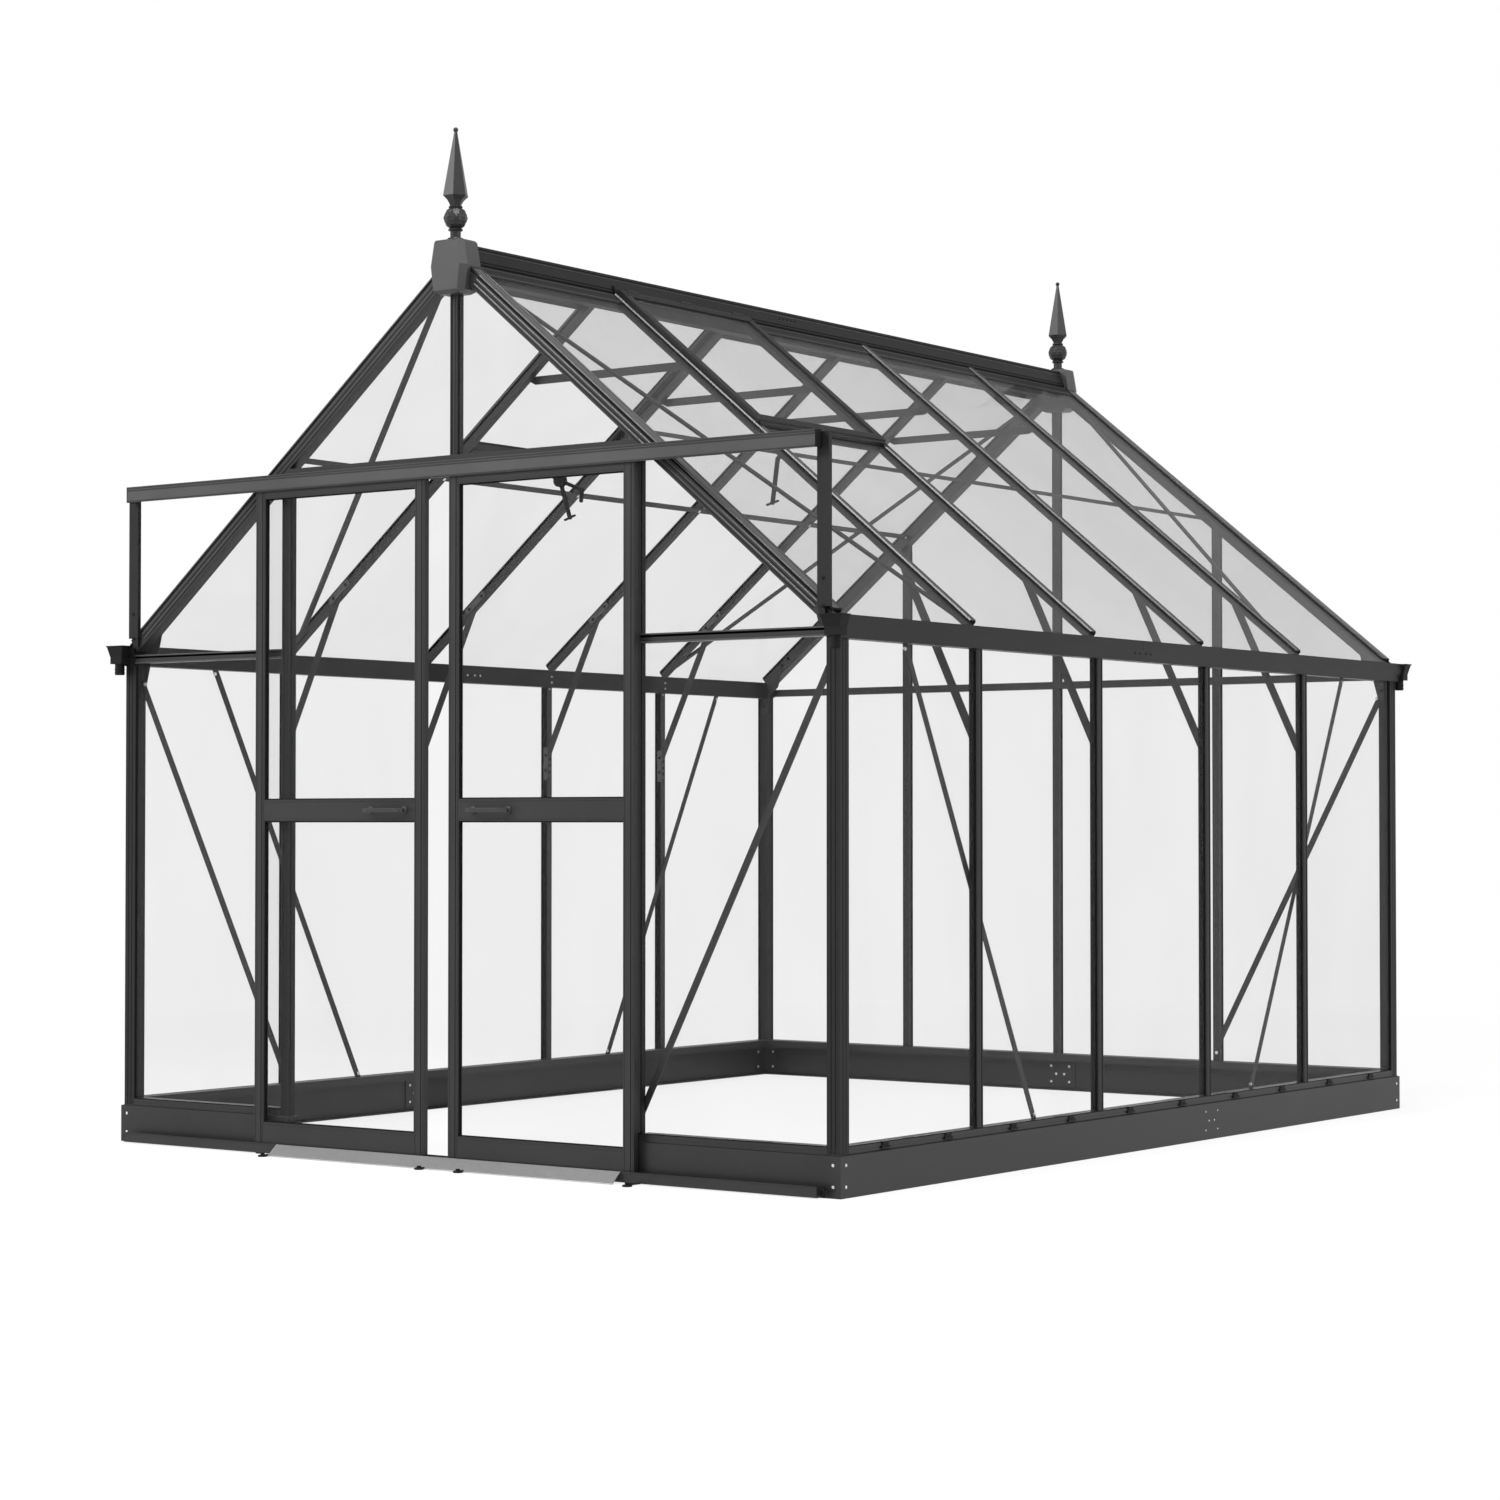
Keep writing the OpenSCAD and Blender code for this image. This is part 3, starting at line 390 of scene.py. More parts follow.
def lathe(bm, centre, normal, rings, sides=12):
    """Turns (radius, height) rings round a normal, closed at both ends."""
    u, v = across(normal)
    turns = [2 * math.pi * k / sides for k in range(sides)]
    spokes = [u * math.cos(t) + v * math.sin(t) for t in turns]
    loops = []
    for radius, height in rings:
        hub = centre + normal * height
        loops.append([bm.verts.new(hub + spoke * radius) for spoke in spokes])
    bm.faces.new(list(reversed(loops[0])))
    bm.faces.new(loops[-1])
    for low, high in zip(loops, loops[1:]):
        for k in range(sides):
            m = (k + 1) % sides
            bm.faces.new((low[k], low[m], high[m], high[k]))


def bolt(bm, centre, normal, r):
    """A domed bolt head on a washer."""
    h = 0.6 * r
    rings = [(1.35 * r, 0), (1.35 * r, 0.12 * h), (r, 0.2 * h), (r, 0.65 * h), (0.75 * r, h)]
    lathe(bm, centre, normal.normalized(), rings + [(0.35 * r, h), (0.3 * r, 0.7 * h)])


def bolts(name, places, r, mat, body="greenhouse"):
    """One piece with a bolt at each (place, normal)."""
    bm = bmesh.new()
    for centre, normal in places:
        bolt(bm, centre, normal, r)
    piece(name, bm, mat, body)


# ---- glazing bars: seals beside the glass, lips and a bead on the face ----
SEAL = [(0, -0.0050), (0.0035, -0.0050), (0.0022, -0.0030), (0, -0.0018)]
LIP = [(0.0003, -0.0045), (0.0016, -0.0040), (0.0016, -0.0013), (-0.0013, 0.0016)]
LIP += [(-0.0040, 0.0016), (-0.0044, -0.0002)]
# A black strip laid in a groove of a bar, post or stile: painted groove shade
GROOVE_SHADE = [(-0.0014, -0.0002), (0.0014, -0.0002), (0.0012, 0.0003), (-0.0012, 0.0003)]
BEAD = [(-0.0022, -0.0002), (-0.0012, 0.0009), (0, 0.0013), (0.0012, 0.0009), (0.0022, -0.0002)]


def dress(lips, black_strips, start, along, side_axis, out, width, edges=SIDES, groove_shade_places=None):
    """Seals, lips and black lines of painted groove shade along one bar: edges says on which of its
    sides.
    """
    for side in edges:
        origin = start + side_axis * (side * width / 2)
        prism(black_strips, SEAL, origin, side_axis * side, out, along)
        prism(lips, LIP, origin, side_axis * side, out, along)
    # The black lines in the bar's face are painted groove shade
    for place in (-0.2 * width, 0.2 * width) if groove_shade_places is None else groove_shade_places:
        prism(black_strips, GROOVE_SHADE, start + side_axis * place, side_axis, out, along)


def wall_dressing():
    """Lips, black lines of painted groove shade and seals on the upright bars, posts and jambs."""
    lips, black_strips = bmesh.new(), bmesh.new()
    clear = 0.002
    lining_in, lining_deep, lining_thick = 0.0178, 0.0145, 0.0008
    for lo, hi in solids("side_wall_bars"):
        side = 1 if lo.x > 0 else -1
        height = hi.z - lo.z - 2 * clear
        start = Vector((side * WALL_X, (lo.y + hi.y) / 2, lo.z + clear))
        dress(lips, black_strips, start, Z * height, Y, X * side, BAR_W)
        # Black linings on the bar's flanks, behind the panes
        for way in SIDES:
            flank = start + Y * (way * (BAR_W / 2 + 0.0003)) - X * (side * lining_in)
            middle = flank + Z * (hi.z - lo.z) / 2
            slab(black_strips, middle, X, Y, Z, (lining_deep, lining_thick, height))
    for lo, hi in solids("rear_wall_bars"):
        middle = (lo.x + hi.x) / 2
        under_slope = 0.0 if abs(middle) < 0.1 else BAR_W * math.tan(ANGLE)
        start = Vector((middle, hi.y, lo.z + clear))
        dress(lips, black_strips, start, Z * (hi.z - lo.z - 2 * clear - under_slope), X, Y, BAR_W)
    lo, hi = box("gable_centre_bar")
    start = Vector(((lo.x + hi.x) / 2, lo.y, lo.z + clear))
    dress(lips, black_strips, start, Z * (hi.z - lo.z - 2 * clear), X, -Y, BAR_W)
    jamb_top = box("top_track")[0].z - clear
    for lo, hi in solids("door_jambs"):
        middle = (lo.x + hi.x) / 2
        outer = 1 if middle > 0 else -1
        start = Vector((middle, lo.y, SILL_TOP + clear))
        along = Z * (jamb_top - SILL_TOP - clear)
        dress(lips, black_strips, start, along, X, -Y, hi.x - lo.x, (outer,))
    along = Z * (GUTTER[0].z - SILL_TOP - 2 * clear)
    for sx in SIDES:
        for sy in SIDES:
            edge = at(sx * WALL_X, sy * (WALL_Y - POST), SILL_TOP + clear)
            prism(black_strips, SEAL, edge, Y * -sy, X * sx, along)
            edge = at(sx * (WALL_X - POST), sy * WALL_Y, SILL_TOP + clear)
            prism(black_strips, SEAL, edge, X * -sx, Y * sy, along)
            # Black lines down the posts' faces: painted groove shade
            for part in (1 / 3, 2 / 3):
                line = at(sx * (WALL_X - part * POST), sy * WALL_Y, SILL_TOP)
                prism(black_strips, GROOVE_SHADE, line, X, Y * sy, along)
                line = at(sx * WALL_X, sy * (WALL_Y - part * POST), SILL_TOP)
                prism(black_strips, GROOVE_SHADE, line, Y, X * sx, along)
    piece("wall_bar_ribs", lips, COAT)
    piece("wall_glazing_seals", black_strips, RUBBER_AND_GROOVE_SHADE)


def roof_dressing():
    """Lips, sheets of painted highlight, lines of painted groove shade and seals on the rafters:
    they give way to ridge, castings and vents.
    """
    lips, black_strips, plugs, highlight_sheets = (bmesh.new() for _ in range(4))
    frames = solids("vent_frames")
    vent_y = (frames[0][0].y, frames[0][1].y)
    below_vent = box("vent_frames")[1].x / math.cos(ANGLE) + 0.006
    end = RAFTER_END - 0.002
    plate_t, plug_out = 0.0004, 0.0015
    for side in SIDES:
        fall, out = down(side), out_of(side)

        # A thin lighter sheet on a rafter's top: painted highlight
        def highlight_sheet(begin, y, width):
            centre = slope(side, begin, y) + fall * (end - begin) / 2
            slab(highlight_sheets, centre, Y, fall, out, (width, end - begin, plate_t))

        for y in SIDE_BARS:
            begin = 0.064
            edges = [sy for sy in SIDES if abs(y + SHIFT - vent_y[0 if sy > 0 else 1]) < 0.004]
            free = [sy for sy in SIDES if sy not in edges]
            groove_shade_places = () if edges else None
            start, run = slope(side, begin, y), fall * (end - begin)
            dress(lips, black_strips, start, run, Y, out, BAR_W, free, groove_shade_places)
            if edges:
                start, run = slope(side, below_vent, y), fall * (end - below_vent)
                dress(lips, black_strips, start, run, Y, out, BAR_W, edges)
            highlight_sheet(below_vent if edges else begin, y, BAR_W)
            plug = slope(side, RAFTER_END + plug_out, y, -0.010)
            slab(plugs, plug, Y, out, fall, (0.021, 0.016, 0.003))
        for sy in SIDES:
            begin = 0.088
            middle = sy * (WALL_Y - POST / 2)
            start, run = slope(side, begin, middle), fall * (end - begin)
            dress(lips, black_strips, start, run, Y, out, POST, (-sy,), (-0.008, 0.008))
            highlight_sheet(begin, middle, POST - 0.004)
            # Black lines of painted groove shade, and ribs in the lighter edge coat of painted
            # highlight, on the gable face, clear of the casting and the gutter
            run = fall * (end - begin - 0.075)
            for depth in (0.010, 0.024, 0.037):
                face = slope(side, begin + 0.03, sy * WALL_Y, -depth)
                prism(black_strips, GROOVE_SHADE, face, out, Y * sy, run)
            for depth in (0.003, 0.017, 0.031):
                face = slope(side, begin + 0.03, sy * WALL_Y, -depth)
                prism(lips, BEAD, face, out, Y * sy, run)
            plug = slope(side, RAFTER_END + plug_out, middle, -0.016)
            slab(plugs, plug, Y, out, fall, (0.034, 0.028, 0.003))
            pin = slope(side, RAFTER_END, sy * (WALL_Y - 0.004), -0.012)
            lathe(plugs, pin, fall, [(0.006, 0), (0.006, 0.012), (0.0045, 0.014)])
    # The lips and ribs take the lighter edge coat: painted highlight
    piece("rafter_ribs", lips, EDGE)
    # The top sheets in the sunlit coat are painted highlight
    piece("rafter_top_painted_highlights", highlight_sheets, SHEEN)
    piece("roof_glazing_seals", black_strips, RUBBER_AND_GROOVE_SHADE)
    piece("rafter_end_caps", plugs, PLASTIC, bevel=0.0008)


# ---- plinth and sill fittings ----
def plinth_fittings():
    """Bolts, clips, drip lips and seal lines round the foot."""
    large, small = [], []
    inset, inner_inset, wall = 0.0235, 0.045, 0.0062
    for sx in SIDES:
        for sy in SIDES:
            for z in (0.028, 0.082):
                large.append((at(sx * (HALF_W - inset), sy * HALF_L, z), Y * sy))
                large.append((at(sx * HALF_W, sy * (HALF_L - inset), z), X * sx))
                large.append((at(sx * (HALF_W - wall), sy * (HALF_L - inner_inset), z), X * -sx))
                large.append((at(sx * (HALF_W - inner_inset), sy * (HALF_L - wall), z), Y * -sy))
    # Bolts through the splices, in three rows: (height, half the row's width)
    rows = ((0.028, 0.036), (0.055, 0.016), (0.082, 0.036))
    for x, y, out in ((HALF_W, 0.32, X), (-HALF_W, -0.32, -X), (0, HALF_L, Y)):
        step = Y if abs(out.x) else X
        for column in SIDES:
            for z, wide in rows:
                place = at(x, y, z) + step * (column * wide)
                small.append((place, out))
                large.append((place - out * wall, -out))
    bolts("plinth_bolts", large, 0.0032, ZINC)
    bolts("plinth_splice_bolts", small, 0.0019, ZINC)
    # Clips that hold the panes' feet, two to a bay: (drop, out of the wall, size)
    clip = (
        (0.0080, 0.0, (0.030, 0.003, 0.017)),
        (0.0140, 0.0010, (0.040, 0.006, 0.006)),
        (0.0018, 0.0005, (0.026, 0.006, 0.005)),
    )
    bm = bmesh.new()
    edges = [-WALL_Y + POST] + SIDE_BARS + [WALL_Y - POST]
    for sx in SIDES:
        for y0, y1 in zip(edges, edges[1:]):
            for part in (0.26, 0.74):
                foot = at(sx * (WALL_X + 0.0010), y0 + (y1 - y0) * part, SILL_TOP)
                for drop, proud, size in clip:
                    slab(bm, foot - Z * drop + X * (sx * proud), Y, X, Z, size)
    piece("sill_glass_clips", bm, PLASTIC, bevel=0.0006)
    # Drip lips: a folded edge on the plinth and a seal line on the sill
    lips, black_strips = bmesh.new(), bmesh.new()
    jamb = box("door_jambs")[1].x
    lip = [(0, 0), (0.0016, 0), (0.0022, 0.0012), (0, 0.003)]
    line = [(0, -0.002), (0.0012, -0.0015), (0.0012, 0.001), (0, 0.001)]
    clear_x, clear_y = WALL_X - POST, WALL_Y - POST
    for sx in SIDES:
        prism(lips, lip, at(sx * WALL_X, -WALL_Y, PLINTH_TOP), X * sx, Z, Y * (2 * WALL_Y))
        prism(black_strips, line, at(sx * WALL_X, -clear_y, SILL_TOP), X * sx, Z, Y * (2 * clear_y))
        front = (sx * jamb, -WALL_Y)
        prism(lips, lip, at(*front, PLINTH_TOP), -Y, Z, X * (sx * (WALL_X - jamb)))
        prism(black_strips, line, at(*front, SILL_TOP), -Y, Z, X * (sx * (clear_x - jamb)))
    prism(lips, lip, at(-WALL_X, WALL_Y, PLINTH_TOP), Y, Z, X * (2 * WALL_X))
    prism(black_strips, line, at(-clear_x, WALL_Y, SILL_TOP), Y, Z, X * (2 * clear_x))
    piece("plinth_drip_lips", lips, COAT)
    piece("sill_seal_lines", black_strips, RUBBER_AND_GROOVE_SHADE)


# ---- gutters and eaves ----
def eaves_fittings():
    """Rivets, joints and end plates of the gutters, flanges of the ties and outlet rims."""
    dots, rivets = [], []
    plates, ends = bmesh.new(), bmesh.new()
    splice = -0.10
    bottom, top = GUTTER[0].z, GUTTER[1].z
    for sx in SIDES:
        for y in SIDE_BARS:
            for z in (0.016, 0.036):
                rivets.append((at(sx * GUTTER_IN, y, bottom + z), X * -sx))
            rivets.append((at(sx * (WALL_X - BAR_DEPTH), y, bottom - 0.006), X * -sx))
        skirt = Vector((sx * 31, 0, -14)).normalized()
        for step in (-0.045, -0.018, 0.018, 0.045):
            rivets.append((at(sx * GUTTER_IN, splice + step, bottom + 0.026), X * -sx))
            dots.append((at(sx * (GUTTER_OUT - 0.0045), splice + step, bottom + 0.021), skirt))
        # A joint line round the gutter where two lengths meet
        joint = at(sx * GUTTER_OUT, splice, top - 0.0135)
        slab(plates, joint, Y, X, Z, (0.0015, 0.002, 0.027))
        for sy in SIDES:
            end = at(sx * (GUTTER_IN + 0.018), sy * (HALF_L + 0.001), bottom + 0.012)
            slab(ends, end, X, Z, Y, (0.034, 0.022, 0.002))
            for z in (0.02, 0.045):
                dots.append((at(sx * (WALL_X - POST), sy * (WALL_Y - 0.02), bottom - z), X * -sx))
    bolts("eaves_bolts", dots, 0.0028, PLASTIC)
    bolts("eaves_rivets", rivets, 0.0022, ZINC)
    # Folded flanges along the eaves ties, with a black strip between them: a groove line in painted
    # shade
    flange = [(0, 0), (0.0022, 0), (0.0022, 0.003), (0, 0.004)]
    groove_shade_strip = [(0, 0), (0.0006, 0), (0.0006, 0.005), (0, 0.005)]
    inset = 0.003
    for lo, hi in solids("eaves_ties"):
        sy = 1 if lo.y > 0 else -1
        face = hi.y if sy > 0 else lo.y
        run = X * (hi.x - lo.x - 2 * inset)
        for z in (lo.z, hi.z - 0.004):
            prism(plates, flange, Vector((lo.x + inset, face, z)), Y * sy, Z, run)
            prism(ends, groove_shade_strip, Vector((lo.x + inset, face, hi.z - 0.010)), Y * sy, Z, run)
    piece("gutter_joint_lines", plates, LIGHT)
    piece("gutter_end_plates", ends, PLASTIC)
    # Raised rims round the outlets, and rings round their spouts
    rims = bmesh.new()
    rim = 0.003
    ring = [(0.0136, 0), (0.0152, 0.001), (0.0152, 0.003), (0.0136, 0.004)]
    for lo, hi in solids("gutter_outlets"):
        middle = (lo + hi) / 2
        for x in (lo.x, hi.x):
            centre = Vector((x, middle.y, hi.z - rim / 2))
            slab(rims, centre, X, Y, Z, (rim, hi.y - lo.y + rim, rim))
        for y in (lo.y, hi.y):
            centre = Vector((middle.x, y, hi.z - rim / 2))
            slab(rims, centre, X, Y, Z, (hi.x - lo.x + rim, rim, rim))
        spout = Vector((middle.x, middle.y - 0.003 * (1 if lo.y > 0 else -1), lo.z))
        for h in (0.004, 0.014):
            lathe(rims, spout + Z * h, Z, ring, 24)
    piece("outlet_rims", rims, PLASTIC, bevel=0.0006)


# ---- ridge ----
def ridge_fittings():
    """Lines, seals, splices and flashing strips along the ridge."""
    plates, black_strips, covers = (bmesh.new() for _ in range(3))
    dots = []
    lo, hi = box("ridge_beam")
    crown, wing = 0.027, 0.0445
    wing_z = APEX_Z - wing * math.tan(ANGLE) + 0.004
    reach = hi.y - SHIFT
    along = Y * (2 * reach)
    gasket = [(0, 0), (0.002, 0), (0.002, 0.004), (0, 0.004)]
    splice_y, splice_l, splice_w, splice_t = -0.09, 0.105, 0.018, 0.0022
    for side in SIDES:
        fall = Vector((side * (wing - crown), 0, wing_z - hi.z))
        tangent = fall.normalized()
        out = Vector((-tangent.z * side, 0, tangent.x * side)).normalized()
        # Lines along the flank: (share of its height, half width, mesh)
        for part, w, bm in ((0.16, 0.0016, black_strips), (0.30, 0.0012, plates), (0.92, 0.0018, black_strips)):
            start = Vector((side * crown, -reach + SHIFT, hi.z)) + fall * part
            outline = [(-w, -0.0002), (w, -0.0002), (0.6 * w, 0.0009), (-0.6 * w, 0.0009)]
            prism(bm, outline, start, tangent, out, along)
        # Seal under the wing, and a joint cover where the vent's hinge rail starts
        under = Vector((side * (wing + 0.001), -reach + SHIFT, wing_z - 0.006))
        prism(black_strips, gasket, under, X * -side, Z, along)
        cover = at(side * (wing + 0.0005), SIDE_BARS[0] - 0.009, wing_z + 0.001)
        slab(black_strips, cover, Y, out, tangent, (0.008, 0.005, 0.030))
        # The splice's outline and bolts, and bolts low on the beam
        splice = at(side * (crown + wing) / 2, splice_y, (hi.z + wing_z) / 2)
        for edge in SIDES:
            long_side = splice + tangent * (edge * splice_w / 2)
            slab(plates, long_side, Y, tangent, out, (splice_l, 0.0012, splice_t))
            short_side = splice + Y * (edge * splice_l / 2)
            slab(plates, short_side, tangent, Y, out, (splice_w, 0.0012, splice_t))
        for step in (-0.04, -0.02, 0.0, 0.02, 0.04):
            dots.append((splice + Y * step, out))
        for y in (-0.11, -0.07, -0.03):
            dots.append((at(side * 0.020, y, lo.z + 0.012), X * side))
    # Flashing strips on the panes' upper edges, in the bays without a vent
    ends = [-WALL_Y + POST / 2] + SIDE_BARS + [WALL_Y - POST / 2]
    vents = [((lo.x + hi.x) / 2, (lo.y + hi.y) / 2 - SHIFT) for lo, hi in solids("vent_glass")]
    begin = wing / math.cos(ANGLE) - 0.004
    strip = [(0, 0), (0.058, 0), (0.058, 0.0012), (0, 0.0030)]
    rib = [(0, -0.001), (0.003, -0.001), (0.003, 0.0004), (0, 0.0007)]
    strip_end, rib_end = 0.017, 0.019
    for side in SIDES:
        for y0, y1 in zip(ends, ends[1:]):
            if any(x * side > 0 and y0 < y < y1 for x, y in vents):
                continue
            first = slope(side, begin, y0 + strip_end, -GLASS_IN)
            prism(covers, strip, first, down(side), out_of(side), Y * (y1 - y0 - 2 * strip_end))
            for s in (0.014, 0.046):
                line = slope(side, begin + s, y0 + rib_end, 0.0026 - GLASS_IN - 0.03 * s)
                prism(plates, rib, line, down(side), out_of(side), Y * (y1 - y0 - 2 * rib_end))
    piece("ridge_covers", covers, DARK)
    piece("ridge_lips", plates, LIGHT, bevel=0.0003)
    piece("ridge_seals", black_strips, RUBBER_AND_GROOVE_SHADE)
    bolts("ridge_bolts", dots, 0.0026, PLASTIC)


def faceted_ball(bm, centre, radius, rows, columns):
    """A ball of triangles, in rows that are turned by half a facet."""
    grid = []
    for i in range(rows):
        tilt = math.pi * (i + 0.5) / rows - math.pi / 2
        ring = []
        for k in range(columns):
            turn = 2 * math.pi * (k + 0.5 * (i % 2)) / columns
            level = radius * math.cos(tilt)
            spot = (level * math.cos(turn), level * math.sin(turn), radius * math.sin(tilt))
            ring.append(bm.verts.new(centre + Vector(spot)))
        grid.append(ring)
    bm.faces.new(list(reversed(grid[0])))
    bm.faces.new(grid[-1])
    for i in range(rows - 1):
        low, high = grid[i], grid[i + 1]
        for k in range(columns):
            m = (k + 1) % columns
            if i % 2:
                bm.faces.new((low[k], high[m], high[k]))
                bm.faces.new((low[k], low[m], high[m]))
            else:
                bm.faces.new((low[k], low[m], high[k]))
                bm.faces.new((low[m], high[m], high[k]))


def finial_fittings():
    """Facets round the finials' balls, and rings on their stems."""
    bm = bmesh.new()
    for lo, hi in solids("finials"):
        foot = Vector(((lo.x + hi.x) / 2, (lo.y + hi.y) / 2, lo.z))
        faceted_ball(bm, foot + Z * 0.062, 0.0335, 5, 8)
        for z, r in ((0.030, 0.0185), (0.004, 0.021), (0.092, 0.0175)):
            lathe(bm, foot + Z * z, Z, [(r, -0.003), (r + 0.002, 0), (r, 0.003)], 24)
    piece("finial_ornaments", bm, COAT)


# ---- braces ----
def brace_fittings():
    """Plates and bolts where the braces meet the frame."""
    plates = bmesh.new()
    bright, dark = [], []
    plate_t, shoe_t = 0.0022, 0.0028
    under_rafter = BAR_DEPTH / math.cos(ANGLE) - 0.008
    knee_top_x = WALL_X - 0.252
    knee_top_z = APEX_Z - knee_top_x * math.tan(ANGLE) - under_rafter
    knee_foot_z = EAVES_Z - 0.295
    for sx in SIDES:
        for y in SIDE_BARS:
            # The plates stand on the brace's far side, which is +Y on the right and -Y on the left
            face = y + sx * (BAR_W / 2 + FLAT)
            cheek = Y * (sx * plate_t)
            foot = at(sx * (WALL_X - BAR_DEPTH + 0.003), face, knee_foot_z - 0.012)
            slab(plates, foot - Z * 0.012 + cheek / 2, X, Y, Z, (0.019, plate_t, 0.110))
            shoe = at(sx * (WALL_X - BAR_DEPTH - shoe_t / 2), y, knee_foot_z - 0.030)
            slab(plates, shoe, X, Y, Z, (shoe_t, 0.017, 0.070))
            for z in (-0.022, 0.0, 0.022):
                dark.append((shoe + Z * z - X * (sx * shoe_t / 2), X * -sx))
            top = at(sx * knee_top_x, face, knee_top_z + 0.004)
            slab(plates, top + cheek / 2, down(sx), out_of(sx), Y, (0.098, 0.020, plate_t))
            for z in (-0.034, 0.018):
                dark.append((foot + Z * z + cheek, Y * sx))
            for s in (-0.034, 0.030):
                dark.append((top + down(sx) * s + cheek, Y * sx))
    piece("knee_brace_ends", plates, LIGHT, bevel=0.0008)
    through = 0.0028
    for lo, hi in solids("side_wall_braces"):
        side = 1 if lo.x > 0 else -1
        front = 1 if lo.y < 0 else -1
        near, far = (lo.y, hi.y) if front > 0 else (hi.y, lo.y)
        x = side * (WALL_X - BAR_DEPTH - FLAT)
        for y, z in ((near + front * 0.010, hi.z - 0.012), (far - front * 0.010, lo.z + 0.012)):
            bright.append((Vector((x, y, z)), X * -side))
            bright.append((Vector((x + side * through, y, z)), X * side))
    for lo, hi in solids("gable_braces"):
        sy = 1 if lo.y > 0 else -1
        side = 1 if lo.x + hi.x > 0 else -1
        near, far = (lo.x, hi.x) if side > 0 else (hi.x, lo.x)
        y = lo.y if sy > 0 else hi.y
        for x, z in ((near + side * 0.012, lo.z + 0.026), (far - side * 0.012, hi.z - 0.026)):
            bright.append((Vector((x, y, z)), Y * -sy))
            bright.append((Vector((x, y + sy * through, z)), Y * sy))
    # Bolts in the corner gussets, on the posts and on the gable rafters
    for sx in SIDES:
        for sy in SIDES:
            plane = sy * (WALL_Y - POST - FLAT)
            for drop in (0.030, -0.018):
                dark.append((at(sx * (WALL_X - 0.028), plane, GUTTER[0].z - drop), Y * -sy))
            for s in (0.10, 0.135):
                dark.append((slope(sx, RAFTER_END - s, plane, -0.020), Y * -sy))
    # Bolts at the ends of the collar ties
    tie_z = APEX_Z - 0.29 * math.tan(ANGLE) - under_rafter
    for y in SIDE_BARS:
        for sx in SIDES:
            dark.append((at(sx * 0.272, y + BAR_W / 2 + FLAT, tie_z), Y))
    # Bright heads where the purlins meet the gable bars and cross the rafters
    purlin = 0.62465 / math.cos(ANGLE)
    gables = [-WALL_Y + POST + 0.012, WALL_Y - POST - 0.012]
    for sx in SIDES:
        for y in SIDE_BARS + gables:
            bright.append((slope(sx, purlin, y, -BAR_DEPTH - FLAT), -out_of(sx)))
    bolts("brace_bolts_bright", bright, 0.0042, ZINC)
    bolts("brace_bolts_dark", dark, 0.0042, PLASTIC)


# ---- vents ----
def vent_fittings():
    """Ribs, hinges, seals and screws on the roof vents, and the winder's caps."""
    rails, black_strips, dots = bmesh.new(), bmesh.new(), []
    begin, end = 0.0445 / math.cos(ANGLE) + 0.004, 0.704
    thick, inner, gap = 0.014, 0.028, 0.002
    rib = [(-0.0015, 0), (0.0015, 0), (0.0010, 0.0012), (-0.0010, 0.0012)]
    bead = [(0, 0), (0.004, 0), (0.0015, 0.003), (0, 0.0035)]
    drip = [(0, 0), (0.004, -0.001), (0.005, 0.003), (0, 0.006)]
    knuckle = [(0.003, 0), (0.0034, 0.001), (0.0034, 0.049), (0.003, 0.05)]
    for lo, hi in solids("vent_frames"):
        side = 1 if hi.x > 0.1 else -1
        fall, out = down(side), out_of(side)
        y0, y1 = lo.y - SHIFT, hi.y - SHIFT
        run = Y * (y1 - y0 - 2 * gap)
        for inset in (0.006, 0.014, 0.022):
            for s in (begin + inset, end - inset):
                prism(rails, rib, slope(side, s, y0 + gap, thick), fall, out, run)
        for inset in (0.007, 0.020):
            for y in (y0 + inset, y1 - inset):
                start = slope(side, begin + 0.030, y, thick)
                prism(rails, rib, start, Y, out, fall * (end - begin - 0.060))
        # Seals round the pane, on the frame's inner edge
        glass_top = thick / 2 + gap
        for y, way in ((y0 + inner, 1), (y1 - inner, -1)):
            start = slope(side, begin + inner, y, glass_top)
            prism(black_strips, bead, start, Y * way, out, fall * (end - begin - 2 * inner))
        for s, way in ((begin + inner, 1), (end - inner, -1)):
            start = slope(side, s, y0 + inner, glass_top)
            prism(black_strips, bead, start, fall * way, out, Y * (y1 - y0 - 2 * inner))
        # Hinge knuckles under the ridge, and screws at the frame's corners
        for y in (y0 + 0.06, (y0 + y1) / 2, y1 - 0.06):
            lathe(rails, slope(side, begin - 0.001, y - 0.025, thick + 0.0005), Y, knuckle)
        for y in (y0 + 0.013, y1 - 0.013):
            for s in (begin + 0.026, end - 0.026):
                dots.append((slope(side, s, y, thick), out))
        # Drip lip under the lower rail
        prism(rails, drip, slope(side, end, y0 + gap, gap), fall, out, run)
    piece("vent_rail_ribs", rails, COAT)
    piece("vent_glass_seals", black_strips, RUBBER_AND_GROOVE_SHADE)
    bolts("vent_screws", dots, 0.0026, DARK)
    # Caps on both sides of the left opener's winder
    bm = bmesh.new()
    cap = [(0.0195, 0), (0.0195, 0.001), (0.015, 0.003), (0.006, 0.003)]
    cap += [(0.005, 0.006), (0.001, 0.006)]
    for lo, hi in solids("vent_stays"):
        if lo.x < 0:
            pivot = slope(-1, 0.69, (lo.y + hi.y) / 2 - SHIFT, -0.028) + Vector((0.045, 0, -0.054))
            for way in SIDES:
                lathe(bm, pivot + Y * (way * 0.009), Y * way, cap, 24)
    piece("vent_winder_caps", bm, PLASTIC)


